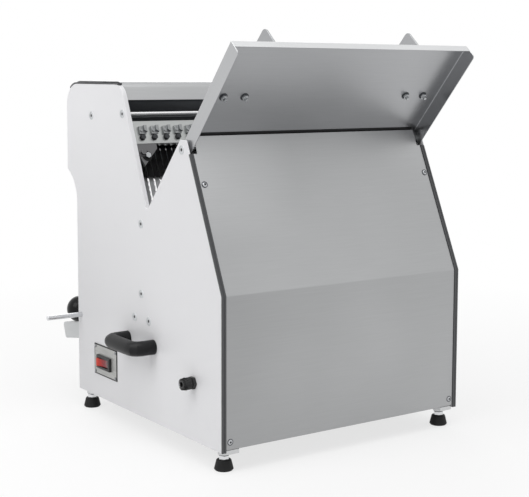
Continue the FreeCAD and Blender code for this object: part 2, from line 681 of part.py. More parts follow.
def gusset_pair():
    """Pointed brackets under the rear frame's upper bar, each with a bolt."""
    pieces = []
    low = FACE + d.bar_thick - d.gusset_thick
    for side in (1, -1):
        body = new_body()
        middle = side * (frame_half - d.side_bar_width - d.gusset_inset)
        outer = side * frame_half
        inner = side * (frame_half - d.gusset_width)
        pad(body, "XZ_Plane", [
            (f"{outer}", "Sizes.upper_bar"),
            (f"{middle}", "Sizes.upper_bar - Sizes.gusset_height"),
            (f"{inner}", "Sizes.upper_bar - Sizes.gusset_rim"),
            (f"{inner}", "Sizes.upper_bar"),
        ], "Sizes.gusset_thick", f"{-low - d.gusset_thick}")
        bolt_z = d.upper_bar - d.gusset_height * 0.4
        face = FACE + d.bar_thick
        washer = bar("Sizes.gusset_washer", "1.5", (middle, face, bolt_z), (0, 1, 0))
        bolt = hexagon("Sizes.gusset_bolt", "6", (middle, face, bolt_z), (0, 1, 0))
        pieces.append(joined([body, washer, bolt]))
    return group(placed(pieces, BLADES))


keep(blade_frame(1), "blade_frame_rear")
keep(blade_frame(-1), "blade_frame_front")
keep(blade_set(0), "blades_rear")
keep(blade_set(1), "blades_front")
keep(clamp_set(1, 0), "clamps_rear")
keep(clamp_set(-1, 1), "clamps_front")
keep(gusset_pair(), "gussets")

guides = []
guide_inner = frame_half + d.slide_gap
for side in (1, -1):
    for low in (d.guide_upper, d.guide_lower):
        guides.append(block(("Sizes.guide_thick", "Sizes.guide_width", "Sizes.guide_length"),
                            (guide_inner if side > 0 else -GAP, -d.guide_width / 2, low)))
keep(group(placed(guides, BLADES)), "frame_guides")


# --- Drive ------------------------------------------------------------------------------

shaft_half = GAP - 2
shaft_pieces = [bar("Sizes.shaft_radius", f"{2 * shaft_half}", (-shaft_half, -d.shaft_y, d.shaft_z))]
for x, shift in ((yoke_x, d.stroke), (yoke_x - d.yoke_step, -d.stroke)):
    for centre in (-x, x):
        start = (centre - d.eccentric_width / 2, -d.shaft_y + shift, d.shaft_z)
        shaft_pieces.append(bar("Sizes.yoke_reach - Sizes.stroke", "Sizes.eccentric_width", start))
keep(joined(shaft_pieces), "drive_shaft")

blocks = []
for side in (1, -1):
    outer = (-GAP if side < 0 else GAP - d.block_length, -d.shaft_y, d.shaft_z)
    corner = (-GAP if side < 0 else GAP - d.block_thick, -d.shaft_y - d.block_size / 2,
              d.shaft_z - d.block_size / 2)
    flange = block(("Sizes.block_thick", "Sizes.block_size", "Sizes.block_size"), corner)
    housing = bar("Sizes.block_radius", "Sizes.block_length", outer)
    bore = bar("Sizes.shaft_radius + Sizes.turn_gap", "Sizes.block_length", outer)
    blocks.append(cut(joined([flange, housing]), [bore]))
keep(group(blocks), "shaft_blocks")

def grooved_wheel(radius, centre_y, centre_z):
    """Flat belt wheel with a rim on each side of the belt's groove."""
    wheel = bar(radius, "Sizes.pulley_width", (drive_x - d.pulley_width / 2, centre_y, centre_z))
    groove_at = (drive_x - d.belt_width / 2, centre_y, centre_z)
    ring = cut(bar(f"{radius} + 1", "Sizes.belt_width", groove_at),
               [bar(f"{radius} - Sizes.pulley_rim", "Sizes.belt_width", groove_at)])
    return cut(wheel, [ring])


shaft_bore = bar("Sizes.shaft_radius + Sizes.turn_gap / 2", "Sizes.pulley_width",
                 (drive_x - d.pulley_width / 2, -d.shaft_y, d.shaft_z))
keep(cut(grooved_wheel("Sizes.pulley_radius", -d.shaft_y, d.shaft_z), [shaft_bore]), "drive_pulley")

motor_end = drive_x + d.pulley_width / 2 + 14
motor_body = bar("Sizes.motor_radius", "Sizes.motor_length", (motor_end, -d.motor_y, d.motor_z))
motor_cap = cone("Sizes.motor_radius - 3", "Sizes.motor_radius - 14", "Sizes.motor_cap",
                 (motor_end + d.motor_length, -d.motor_y, d.motor_z), (1, 0, 0))
mount_back = d.rail_back_y - d.rail_size / 4
mount = block(("Sizes.motor_length - 2 * Sizes.mount_inset",
               f"{d.motor_y + d.mount_front - mount_back}", "Sizes.mount_thick"),
              (motor_end + d.mount_inset, -d.motor_y - d.mount_front,
               d.rail_z - d.rail_size / 2 - d.mount_thick))
keep(joined([motor_body, motor_cap, mount]), "motor")

motor_shaft = bar("Sizes.motor_shaft", "Sizes.pulley_width / 2 + Sizes.belt_width + 14",
                  (drive_x - d.belt_width, -d.motor_y, d.motor_z))
keep(joined([motor_shaft, grooved_wheel("Sizes.motor_pulley_radius", -d.motor_y, d.motor_z)]),
     "motor_pulley")


def belt_outline(growth):
    """Solid with the outline of the belt, grown by a distance."""
    big = Vector(0, -d.shaft_y, d.shaft_z)
    small = Vector(0, -d.motor_y, d.motor_z)
    big_r = d.pulley_radius - d.pulley_rim + growth
    small_r = d.motor_pulley_radius - d.pulley_rim + growth
    line = small - big
    span = line.Length
    along = Vector(line).normalize()
    across = Vector(1, 0, 0).cross(along)
    lean = (big_r - small_r) / span
    level = math.sqrt(1 - lean * lean)
    corners = []
    for centre, radius in ((big, big_r), (small, small_r)):
        corners.append([centre + along * lean * radius + across * level * radius * turn
                        for turn in (1, -1)])
    ring = [corners[0][0], corners[1][0], corners[1][1], corners[0][1]]
    web = new_body()
    pad(web, "YZ_Plane", text([(spot.y, spot.z) for spot in ring]), "Sizes.belt_width - 1",
        drive_x - d.belt_width / 2 + 0.5)
    start = drive_x - d.belt_width / 2 + 0.5
    return joined([web, bar(f"{big_r}", "Sizes.belt_width - 1", (start, big.y, big.z)),
                   bar(f"{small_r}", "Sizes.belt_width - 1", (start, small.y, small.z))])


keep(cut(belt_outline(d.slide_gap + d.belt_thick), [belt_outline(d.slide_gap)]), "drive_belt")


# --- Lid --------------------------------------------------------------------------------

def in_lid(items):
    return placed(items, LID)


lid_body = new_body()
pad(lid_body, "XY_Plane", [
    (f"-{LID_HALF}", "0"), (LID_HALF, "0"),
    (LID_HALF, "Sizes.lid_length"), (f"-{LID_HALF}", "Sizes.lid_length"),
], "Sizes.lid_flange")
round_edges(lid_body, "Sizes.lid_corner", [(0, 0, d.lid_flange)], (1, 0, 0))
round_edges(lid_body, "1.4", [(-lid_half, 0, 0), (lid_half, 0, 0)], (0, 1, 0))
inside = lid_half - d.sheet_thick
hollow = block((f"{2 * inside}", "Sizes.lid_length", "Sizes.lid_flange"),
               (-inside, d.sheet_thick, d.sheet_thick))
lip_cut = block((f"{2 * inside}", "10", "Sizes.lid_flange"), (-inside, -5, d.lid_lip))
ears = []
eyes = [bar("Sizes.stud_radius + Sizes.turn_gap", "Sizes.sheet_thick", (side * x, d.stud_along, 0),
            (0, 0, 1)) for side in (1, -1) for x in (stud_inner, stud_outer)]
for x in (-lid_half, inside):
    ears.append(bar("Sizes.ear_radius", "Sizes.sheet_thick", (x, d.pivot_along, d.pivot_drop)))
    eyes.append(bar("Sizes.hinge_radius + Sizes.turn_gap", "Sizes.sheet_thick",
                    (x, d.pivot_along, d.pivot_drop)))
keep(in_lid([cut(joined([cut(lid_body, [hollow, lip_cut])] + ears), eyes)])[0], "lid_pan")


def pusher(side):
    """Bent plate: a foot bolted to the lid and a fin that stands square to it."""
    body = new_body()
    low = side * pusher_x - d.pusher_thick / 2
    pad(body, "YZ_Plane", [
        ("Sizes.pusher_start", "0"),
        ("Sizes.pusher_start", "-Sizes.pusher_height"),
        ("Sizes.pusher_start + Sizes.pusher_slope", "-Sizes.pusher_height - 2"),
        ("Sizes.pusher_end", "-Sizes.pusher_toe"),
        ("Sizes.pusher_end", "0"),
    ], "Sizes.pusher_thick", f"{low}")
    round_edges(body, "Sizes.pusher_radius", [(low, d.pusher_start, -d.pusher_height)], (1, 0, 0))
    start = pusher_x - d.pusher_thick / 2
    length = stud_outer + d.pusher_margin - start
    foot = block((f"{length}", "Sizes.pusher_foot", "Sizes.pusher_thick"),
                 (start if side > 0 else -start - length, d.stud_along - d.pusher_foot / 2,
                  -d.pusher_thick))
    holes = [bar("Sizes.stud_radius + 0.2", "Sizes.pusher_thick",
                 (side * x, d.stud_along, -d.pusher_thick), (0, 0, 1))
             for x in (stud_inner, stud_outer)]
    item = cut(joined([body, foot]), holes)
    item.Placement = LID
    return item


studs = []
for side in (1, -1):
    for x in (stud_inner, stud_outer):
        head = hexagon("Sizes.nut_radius", "Sizes.stud_head",
                       (side * x, d.stud_along, -d.pusher_thick - d.stud_head))
        shank = bar("Sizes.stud_radius", "Sizes.pusher_thick + Sizes.sheet_thick + Sizes.stud_reach",
                    (side * x, d.stud_along, -d.pusher_thick), (0, 0, 1))
        nut = hexagon("Sizes.nut_radius", "Sizes.nut_height", (side * x, d.stud_along, d.sheet_thick))
        studs.append(joined([head, shank, nut]))
keep(group(in_lid(studs)), "lid_studs")
keep(pusher(1), "pusher_right")
keep(pusher(-1), "pusher_left")

panel_edge = LID.inverse().multVec(Vector(0, panel_top_y - d.sheet_thick / sin(d.back_slope),
                                          d.panel_top))
buffer_thick = panel_edge.z - d.sheet_thick - d.slide_gap
strip = block((f"2 * ({LID_HALF} - Sizes.buffer_inset)", "Sizes.buffer_width", f"{buffer_thick:.3f}"),
              (d.buffer_inset - lid_half, panel_edge.y - d.buffer_width + 2, d.sheet_thick))
keep(in_lid([strip])[0], "lid_buffer")


# --- Handles, switch and gland on the plates ---------------------------------------------

def carry_handle(side):
    """Bow handle: two legs, two bends and a grip, all of one round bar."""
    bend = d.handle_bend
    outward = Vector(side, 0, 0)
    grip_x = side * (HALF + d.handle_reach)
    straight = d.handle_reach - bend
    pieces = []
    for leg in (-1, 1):
        y = -d.handle_y + leg * d.handle_spacing / 2
        foot = Vector(side * HALF, y, d.handle_z)
        pieces.append(bar("Sizes.handle_radius", f"{straight}", foot, outward))
        ring = doc.addObject("Part::Torus", "Bend")
        bind(ring, Radius1=f"{bend}", Radius2="Sizes.handle_radius", Angle3="90")
        centre = Vector(grip_x - side * bend, y - leg * bend, d.handle_z)
        turned = Rotation(Vector(side, 0, 0), Vector(0, leg, 0), Vector(0, 0, side * leg), "XYZ")
        ring.Placement = Placement(centre, turned)
        pieces.append(ring)
    pieces.append(bar("Sizes.handle_radius", f"Sizes.handle_spacing - {2 * bend}",
                      (grip_x, -d.handle_y - d.handle_spacing / 2 + bend, d.handle_z), (0, 1, 0)))
    return joined(pieces)


keep(carry_handle(1), "carry_handle_right")
keep(carry_handle(-1), "carry_handle_left")

label_plate = block(("1.2", "Sizes.switch_width", "Sizes.switch_height"),
                    (HALF, -d.switch_y - d.switch_width / 2, d.switch_z - d.switch_height / 2))
cutout = block(("4", SWITCH_HOLE, "22"), (HALF - 1, -d.rocker_y - switch_half, d.rocker_z - 11))
rivets = []
for along in (-1, 1):
    for up in (-1, 1):
        spot = (HALF + 1.2, -d.switch_y + along * (d.switch_width / 2 - 5),
                d.switch_z + up * (d.switch_height / 2 - 5))
        rivets.append(cone("2.6", "1.4", "1.2", spot, (1, 0, 0)))
keep(joined([cut(label_plate, [cutout])] + rivets), "switch_plate")

well_half = d.rocker_half + 1.4
bezel = joined([
    block(("5", "Sizes.bezel_length", "Sizes.bezel_height"),
          (HALF + 1.2, -d.rocker_y - d.bezel_length / 2, d.rocker_z - d.bezel_height / 2)),
    block(("Sizes.plate_thick + 14", f"{SWITCH_HOLE} - 2 * Sizes.slide_gap", "21.4"),
          (INNER - 12.8, -d.rocker_y - switch_half + d.slide_gap, d.rocker_z - 10.7)),
])
well = block(("22", f"{2 * well_half}", "18.4"),
             (HALF - 8, -d.rocker_y - well_half, d.rocker_z - 9.2))
pin_spot = (HALF + 1, -d.rocker_y, d.rocker_z - 10.4)
pin_hole = bar("Sizes.rocker_pin + Sizes.turn_gap", "20.8", pin_spot, (0, 0, 1))
keep(cut(bezel, [well, pin_hole]), "switch_bezel")

# The rocker is drawn level about its pivot and rests with its front end raised.
rocker_shape = new_body()
pad(rocker_shape, "XY_Plane", text([
    (-6, -5), (8.5, -d.rocker_half), (6, -4), (5.5, 0), (6, 4), (8.5, d.rocker_half), (-6, 5),
]), "17.6", "-8.8")
rocker_spot = Placement(Vector(HALF + 1, -d.rocker_y, d.rocker_z),
                        Rotation(Vector(0, 0, 1), d.rocker_tilt))
rocker_pin = bar("Sizes.rocker_pin", "20.6", (0, 0, -10.3), (0, 0, 1))
keep(placed([joined([rocker_shape, rocker_pin])], rocker_spot)[0], "rocker")

gland_at = Vector(HALF, -d.gland_y, d.gland_z)
gland = cut(joined([
    hexagon("Sizes.gland_hex", "Sizes.gland_hex_height", gland_at, (1, 0, 0)),
    bar("Sizes.gland_radius", "Sizes.gland_length - Sizes.gland_hex_height - 7",
        gland_at + Vector(d.gland_hex_height, 0, 0)),
    cone("Sizes.gland_radius", "Sizes.gland_radius - 3.5", "7",
         gland_at + Vector(d.gland_length - 7, 0, 0), (1, 0, 0)),
    bar("8", "Sizes.plate_thick + 8", gland_at - Vector(d.plate_thick + 8, 0, 0)),
]), [bar("3.5", "Sizes.gland_length + Sizes.plate_thick + 10",
         gland_at - Vector(d.plate_thick + 9, 0, 0))])
keep(gland, "cable_gland")


# --- Feet -------------------------------------------------------------------------------

FEET = (("back_right", 1, d.foot_back), ("back_left", -1, d.foot_back),
        ("front_right", 1, d.body_depth - d.foot_front),
        ("front_left", -1, d.body_depth - d.foot_front))
FOOT_BOLT = "Sizes.foot_bolt"
FOOT_HOLE = "Sizes.foot_bolt + Sizes.turn_gap"
bolt_rise = d.foot_height - d.pad_height
bracket_low = -d.bracket_drop
brackets = []
for name, side, depth in FEET:
    at = Vector(side * (HALF - d.foot_inset), -depth, -d.foot_height)
    top = at + Vector(0, 0, d.pad_height)
    rubber = joined([
        bar("Sizes.foot_radius", "4", at, (0, 0, 1)),
        cone("Sizes.foot_radius", "Sizes.foot_radius - 4.4", "Sizes.pad_height - 4",
             at + Vector(0, 0, 4)),
    ])
    keep(cut(rubber, [bar(FOOT_HOLE, "12", top - Vector(0, 0, 11), (0, 0, 1))]), f"foot_pad_{name}")
    # The foot turns in its bracket to level the machine; a washer nut locks it.
    lock = top + Vector(0, 0, bolt_rise + bracket_low - d.slide_gap - 1.6)
    keep(joined([
        bar(FOOT_BOLT, f"{bolt_rise + 11}", top - Vector(0, 0, 10), (0, 0, 1)),
        hexagon("9", "6", top + Vector(0, 0, d.slide_gap)),
        bar("8.5", "1.6", lock, (0, 0, 1)),
    ]), f"foot_bolt_{name}")
    inner_end = side * GAP - (d.bracket_length if side > 0 else 0)
    behind = d.bracket_width / 2 if depth == d.foot_back else d.bracket_width / 2 - 4
    plate = block(("Sizes.bracket_length", "Sizes.bracket_width", "Sizes.bracket_thick"),
                  (inner_end, -depth - behind, bracket_low))
    hole = bar(FOOT_HOLE, "10", top + Vector(0, 0, bolt_rise - 6), (0, 0, 1))
    brackets.append(cut(plate, [hole]))
keep(group(brackets), "foot_brackets")


# --- Crumb tray, outlet shelf and its rod -------------------------------------------------

tray_back = -d.body_depth + 2 + d.tray_depth
tray = cut(joined([
    block((f"2 * {TRAY_HALF}", "Sizes.tray_depth", "Sizes.tray_height"),
          (-tray_half, tray_back - d.tray_depth, 5.3)),
    block((f"2 * {TRAY_HALF} + 16", "2", "Sizes.tray_height + 8"),
          (-tray_half - 8, -d.body_depth - 2.3, 3)),
    block((f"2 * {TRAY_HALF}", "3", "Sizes.tray_height"),
          (-tray_half, -d.body_depth - 0.6, 5.3)),
    block(("120", "14", "3"), (-60, -d.body_depth - 16, 36)),
]), [block((f"2 * {TRAY_HALF} - 3", "Sizes.tray_depth - 3", "Sizes.tray_height"),
           (1.5 - tray_half, tray_back - d.tray_depth + 1.5, 6.8))])
keep(tray, "crumb_tray")

rod_half = HALF + d.shelf_rod_out
keep(bar("Sizes.shelf_rod_radius", f"{2 * rod_half}", (-rod_half, -shelf_rod_y, d.shelf_rod_z)),
     "shelf_rod")

shelf_back = -d.body_depth - 2.5
shelf_front = -d.body_depth - d.shelf_reach
fall = tan(d.shelf_tilt)
drop = (shelf_back - shelf_front) * fall
shelf_half = INNER - 1.5
shelf = new_body()
pad(shelf, "YZ_Plane", text([
    (shelf_back, d.shelf_top), (shelf_back, d.shelf_top - d.shelf_drop),
    (shelf_front + d.shelf_rake, d.shelf_top - drop - d.shelf_nose), (shelf_front, d.shelf_top - drop),
]), f"{2 * shelf_half}", midplane=True)
front_edges = [(0, shelf_front + d.shelf_rake, d.shelf_top - drop - d.shelf_nose),
               (0, shelf_front, d.shelf_top - drop)]
round_edges(shelf, "Sizes.shelf_radius", front_edges, (1, 0, 0))
shelf_cave = new_body()
wall = d.shelf_wall
pad(shelf_cave, "YZ_Plane", text([
    (shelf_back - wall, d.shelf_top - wall - wall * fall),
    (shelf_back - wall, d.shelf_top - d.shelf_drop - 20),
    (shelf_front + d.shelf_rake + wall + 3, d.shelf_top - d.shelf_drop - 40),
    (shelf_front + wall + 6, d.shelf_top - drop + (wall + 6) * fall - wall),
]), f"{2 * (shelf_half - wall)}", midplane=True)
# Each ball grip stands on the sloping shelf on a flat, with a stud through it.
grip_y = d.body_depth + d.grip_ahead
grip_z = d.shelf_top - (shelf_back + grip_y) * fall
lean = Rotation(Vector(1, 0, 0), d.shelf_tilt)
GRIPS = {name: Placement(Vector(side * (HALF - d.grip_inset), -grip_y, grip_z), lean)
         for side, name in ((1, "right"), (-1, "left"))}
lugs = []
lug_bores = []
for spot in GRIPS.values():
    bore = bar("Sizes.grip_stud + Sizes.turn_gap", "12", (0, 0, -9), (0, 0, 1))
    lug_bores += placed([bore], spot)
for x in (-shelf_half, shelf_half - 6):
    lug = new_body()
    pad(lug, "YZ_Plane", text([
        (-shelf_rod_y + 8, d.shelf_rod_z), (-shelf_rod_y + 4, d.shelf_rod_z + 8),
        (shelf_back - 16, d.shelf_top - 3), (shelf_back - 2, d.shelf_top - 8),
        (shelf_back + 1, d.panel_front_top + 2), (-shelf_rod_y + 8, d.panel_front_top + 4),
    ]), "6", x)
    lugs.append(lug)
    lugs.append(bar("9.5", "6", (x, -shelf_rod_y, d.shelf_rod_z)))
    lug_bores.append(bar("Sizes.shelf_rod_radius + Sizes.turn_gap", "8",
                         (x - 1, -shelf_rod_y, d.shelf_rod_z)))
keep(cut(joined([cut(shelf, [shelf_cave])] + lugs), lug_bores), "outlet_shelf")

for name, spot in GRIPS.items():
    ball = doc.addObject("Part::Sphere", "Ball")
    bind(ball, Radius="Sizes.grip_radius")
    ball.Placement.Base = Vector(0, 0, d.grip_radius - d.grip_sink)
    flat = block(("2 * Sizes.grip_radius", "2 * Sizes.grip_radius", "Sizes.grip_radius"),
                 (-d.grip_radius, -d.grip_radius, -d.grip_radius))
    stud = bar("Sizes.grip_stud", "12", (0, 0, -9), (0, 0, 1))
    nut = hexagon("7", "4.5", (0, 0, -wall - 4.6))
    keep(placed([joined([cut(ball, [flat]), stud, nut])], spot)[0], f"grip_{name}")


# --- Checks and export --------------------------------------------------------------------

doc.recompute()
for item in doc.Objects:
    if any(state in ("Invalid", "Error") for state in item.State):
        raise RuntimeError(f"{item.Label}: {item.State}")
os.makedirs("parts", exist_ok=True)
for item in parts:
    if item.Shape.isNull() or not item.Shape.isValid():
        raise RuntimeError(f"{item.Label} has no valid shape")
    item.Shape.exportStep(f"parts/{item.Label}.step")
print(len(parts), "sub-parts")
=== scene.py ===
# %% [markdown]
# # Dressing a countertop bread slicer
#
# The imported model gives every piece at its real size and place, with its joints. This
# notebook gives the pieces their finish, and remakes those whose real form is finer than
# the plain solid: rounded sheet edges, moulded rubber feet, bow handles, a rocker switch
# and toothed blades. We start by loading the frame.

# %% Load the frame
import json
import math
import bpy
from mathutils import Matrix, Vector


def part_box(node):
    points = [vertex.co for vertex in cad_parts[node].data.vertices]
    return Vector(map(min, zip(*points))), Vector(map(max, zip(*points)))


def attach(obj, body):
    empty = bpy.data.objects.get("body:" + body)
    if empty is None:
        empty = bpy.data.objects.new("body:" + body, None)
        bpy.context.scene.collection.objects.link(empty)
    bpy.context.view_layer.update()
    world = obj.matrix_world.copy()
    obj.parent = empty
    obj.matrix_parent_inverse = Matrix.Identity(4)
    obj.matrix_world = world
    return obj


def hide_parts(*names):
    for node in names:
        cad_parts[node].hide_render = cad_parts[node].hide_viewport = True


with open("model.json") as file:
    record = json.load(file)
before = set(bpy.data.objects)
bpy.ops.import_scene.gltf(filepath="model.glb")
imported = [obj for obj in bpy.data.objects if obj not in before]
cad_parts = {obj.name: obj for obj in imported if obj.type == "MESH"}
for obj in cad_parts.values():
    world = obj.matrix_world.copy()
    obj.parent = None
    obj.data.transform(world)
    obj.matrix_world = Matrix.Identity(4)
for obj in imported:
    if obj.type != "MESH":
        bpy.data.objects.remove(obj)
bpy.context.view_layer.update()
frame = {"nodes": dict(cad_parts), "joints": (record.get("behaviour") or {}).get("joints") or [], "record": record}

nodes = frame["nodes"]
joints = {joint["name"]: joint for joint in frame["joints"]}
scene = bpy.context.scene
scene.view_settings.view_transform = "Standard"
MM = 0.001
print("nodes:", len(nodes), "joints:", sorted(joints))

# %% [markdown]
# ## Camera
#
# A product picture is mostly taken with a long lens, so that edges stay nearly parallel.
# This camera looks at the machine's back and right side from a little above. Yaw turns it
# round the vertical, pitch tips it down, and a small shift moves the picture in the frame
# without turning the camera.

# %% Camera
PICTURE_WIDTH = 529
PICTURE_HEIGHT = 497
SENSOR_WIDTH = 36
ROOM_SIZE = 60
FOCAL_PIXELS = 1234.25
CENTRE_PIXEL = (275.52, 207.76)
CAMERA_PLACE = Vector((1.2749, 1.8807, 0.6315))
YAW = math.radians(35.094)
PITCH = math.radians(6.135)
ROLL = math.radians(-0.219)


def camera_axes(yaw, pitch, roll):
    """Right, up and forward of a camera that looks towards -Y and -X."""
    forward = Vector((-math.sin(yaw) * math.cos(pitch), -math.cos(yaw) * math.cos(pitch),
                      -math.sin(pitch)))
    level = forward.cross(Vector((0, 0, 1))).normalized()
    down = forward.cross(level)
    right = math.cos(roll) * level + math.sin(roll) * down
    return right, math.sin(roll) * level - math.cos(roll) * down, forward


right, up, forward = camera_axes(YAW, PITCH, ROLL)
camera_turn = Matrix((right, up, -forward)).transposed().to_4x4()
bpy.ops.object.camera_add()
camera = bpy.context.object
camera.matrix_world = Matrix.Translation(CAMERA_PLACE) @ camera_turn
camera.data.sensor_width = SENSOR_WIDTH
camera.data.lens = FOCAL_PIXELS * SENSOR_WIDTH / PICTURE_WIDTH
camera.data.shift_x = (PICTURE_WIDTH / 2 - CENTRE_PIXEL[0]) / PICTURE_WIDTH
camera.data.shift_y = (CENTRE_PIXEL[1] - PICTURE_HEIGHT / 2) / PICTURE_WIDTH
camera.data.clip_end = ROOM_SIZE
scene.camera = camera
print("lens", round(camera.data.lens, 1), "mm")

# %% [markdown]
# ## Finish: the helpers
#
# Every finish is a small tree of nodes round one Principled shader. One helper turns a
# colour as a designer writes it (hex, sRGB) into the linear numbers that the renderer
# wants, and one adds a node with its settings and links. The short ones after them are
# the few steps that all the finishes are made of.

# %% Helpers for finishes
def linear(code):
    """Linear colour of an sRGB hex code."""
    channels = [int(code[place:place + 2], 16) / 255 for place in (1, 3, 5)]
    return tuple(c / 12.92 if c <= 0.04045 else ((c + 0.055) / 1.055) ** 2.4
                 for c in channels) + (1,)


def add_node(tree, kind, settings=(), **inputs):
    """Adds a node, sets its properties, and sets or links inputs by name, or by number as _0."""
    node = tree.nodes.new(kind)
    for name, value in dict(settings).items():
        setattr(node, name, value)
    for name, value in inputs.items():
        key = int(name[1:]) if name[1:].isdigit() else name.replace("_", " ")
        socket = node.inputs[key]
        if isinstance(value, bpy.types.NodeSocket):
            tree.links.new(value, socket)
        else:
            socket.default_value = value
    return node


def new_finish(name, **inputs):
    """A material with one Principled shader; returns the material, its tree and shader."""
    material = bpy.data.materials.new(name)
    material.use_nodes = True
    tree = material.node_tree
    shader = tree.nodes["Principled BSDF"]
    for key, value in inputs.items():
        shader.inputs[key.replace("_", " ")].default_value = value
    return material, tree, shader


def place_of(tree, scale=(1, 1, 1)):
    """Object coordinates in metres, stretched for a pattern."""
    where = add_node(tree, "ShaderNodeTexCoord")
    return add_node(tree, "ShaderNodeMapping", _0=where.outputs["Object"], Scale=scale).outputs[0]


def axes_of(tree):
    """The X, Y and Z of a place, in metres."""
    return add_node(tree, "ShaderNodeSeparateXYZ", _0=place_of(tree)).outputs


def noise(tree, scale, detail=2.0):
    """A random grain, its length along each axis set by a scale."""
    return add_node(tree, "ShaderNodeTexNoise", Vector=place_of(tree, scale), Scale=1.0,
                    Detail=detail).outputs[0]


def calculated(tree, operation, *values):
    """The result of a Math node."""
    inputs = {f"_{number}": value for number, value in enumerate(values)}
    return add_node(tree, "ShaderNodeMath", {"operation": operation}, **inputs).outputs[0]


def ranged(tree, value, low, high, first=0.0, last=1.0):
    """Goes from first to last while a value goes from low to high."""
    return add_node(tree, "ShaderNodeMapRange", _0=value, _1=low, _2=high, _3=first,
                    _4=last).outputs[0]


def tone_ramp(tree, value, first, last, between=()):
    """A colour that follows a value; each of its stops is a place and a hex code."""
    ramp = add_node(tree, "ShaderNodeValToRGB", Fac=value)
    stops = ramp.color_ramp.elements
    for stop, (place, colour) in zip(stops, (first, last)):
        stop.position = place
        stop.color = linear(colour)
    for place, colour in between:
        stops.new(place).color = linear(colour)
    return ramp.outputs[0]


def scaled(tree, colour, factor):
    """A colour made lighter or darker by a factor."""
    return add_node(tree, "ShaderNodeVectorMath", {"operation": "SCALE"}, _0=colour,
                    Scale=factor).outputs[0]


def raise_skin(tree, shader, height, strength, depth=0.1 * MM):
    """Lets a fine pattern stand out of the surface."""
    bump = add_node(tree, "ShaderNodeBump", Height=height, Strength=strength, Distance=depth)
    tree.links.new(bump.outputs[0], shader.inputs["Normal"])


print("helpers ready")

# %% [markdown]
# ## Stainless sheet
#
# The panel, hood, lid and feed table are 1.5 mm stainless sheet with a fine satin grain
# from the rolling mill. The grain is far too fine to see as lines at this distance: what
# the eye gets is a soft grey that gathers reflections into broad, slightly cloudy tones.
# So the roughness and the colour vary a little, slowly, and a faint grain runs across.
# The back panel is painted darker below its bend, as painted shade, and lighter near the
# lid's hinge, as a painted highlight.

# %% Stainless sheet
GRAIN_LENGTH = 60 * MM
GRAIN_WIDTH = 0.9 * MM
GRAIN_SHARE = 0.35
CLOUD_SCALE = (3, 3, 3)
CLOUD_SHARE = 0.8
BEND_HEIGHT = 0.2865
# Painted shade below the bend, deeper towards +X, and a painted highlight near the hinge.
PANEL_SHADE_ACROSS = (-0.2, 0.2)
PANEL_SHADE_SHARES = (0.93, 0.82)
PANEL_HIGHLIGHT_ACROSS = (0.05, 0.24)
PANEL_HIGHLIGHT_HEIGHTS = (0.36, 0.5)
PANEL_HIGHLIGHT_SHARE = 0.24


def panel_painted_light_and_shade(tree):
    """A factor for the panel's tone: painted shade below its bend, a painted highlight near the lid's hinge."""
    across, _, height = axes_of(tree)
    above = ranged(tree, height, BEND_HEIGHT - MM, BEND_HEIGHT + MM)
    shade_across = ranged(tree, across, *PANEL_SHADE_ACROSS, *PANEL_SHADE_SHARES)
    below_bend_shade = add_node(tree, "ShaderNodeMix", {"data_type": "FLOAT"}, _0=above, _2=shade_across, _3=1.0)
    side = ranged(tree, across, *PANEL_HIGHLIGHT_ACROSS, 0.0, PANEL_HIGHLIGHT_SHARE)
    high = ranged(tree, height, *PANEL_HIGHLIGHT_HEIGHTS)
    return calculated(tree, "MULTIPLY_ADD", side, high, below_bend_shade.outputs[0])


def satin_steel(name, light, dark, roughness, panel_shaded=False):
    """Rolled stainless sheet with its grain along X."""
    material, tree, shader = new_finish(name, Metallic=1.0, Roughness=roughness)
    grain = noise(tree, (1 / GRAIN_LENGTH, 1 / GRAIN_WIDTH, 1 / GRAIN_WIDTH), 3.0)
    cloud = calculated(tree, "MULTIPLY_ADD", noise(tree, CLOUD_SCALE), CLOUD_SHARE, 0.1)
    tone = calculated(tree, "MULTIPLY_ADD", grain, GRAIN_SHARE, cloud)
    colour = tone_ramp(tree, tone, (0.45, dark), (0.95, light))
    if panel_shaded:
        colour = scaled(tree, colour, panel_painted_light_and_shade(tree))
    tree.links.new(colour, shader.inputs["Base Color"])
    rough = ranged(tree, grain, 0, 1, roughness - 0.05, roughness + 0.06)
    tree.links.new(rough, shader.inputs["Roughness"])
    raise_skin(tree, shader, grain, 0.06)
    return material


panel_steel = satin_steel("satin_stainless_panel", "#b9babb", "#a9aaab", 0.36, panel_shaded=True)
lid_steel = satin_steel("satin_stainless_lid", "#b4b5b7", "#a2a3a5", 0.30)
# Lighter copies of the lid's steel: painted highlight on the rim and the side flanges.
lid_rim_highlight_steel = satin_steel("lid_rim_painted_highlight", "#dedfe0", "#cdcecf", 0.34)
lid_flange_highlight_steel = satin_steel("lid_flange_painted_highlight", "#c3c4c5", "#b3b4b6", 0.34)
hood_steel = satin_steel("satin_stainless_hood", "#b9babb", "#a8a9aa", 0.34)
# A dark copy of the hood's steel: painted shade for the hood's inner faces.
hood_inner_shade_steel = satin_steel("inner_stainless_painted_shade", "#626568", "#525457", 0.3)
print("stainless finishes:", panel_steel.name, lid_steel.name, hood_steel.name)

# %% [markdown]
# ## White powder coat
#
# The side plates are 8 mm plates with a white powder coat: a neutral white with a soft
# sheen. Baked powder flows to a very shallow orange peel of a few millimetres. Painted
# shade makes the coat a little greyer low at the front, and painted light whiter at the top.

# %% Powder coat and paints
PEEL = 3 * MM
# Painted shade low at the front and painted light at the top of the white coat.
COAT_HEIGHTS = (0.22, 0.57)
COAT_SHARES = (-0.13, 0.07)
COAT_FRONT = (0.1, -0.2)


def coat_painted_light_and_shade(tree):
    """A factor for the coat's tone: painted shade low at the front, painted light at the top."""
    _, along, height = axes_of(tree)
    share = ranged(tree, height, *COAT_HEIGHTS, *COAT_SHARES)
    return calculated(tree, "MULTIPLY_ADD", share, ranged(tree, along, *COAT_FRONT), 1.0)


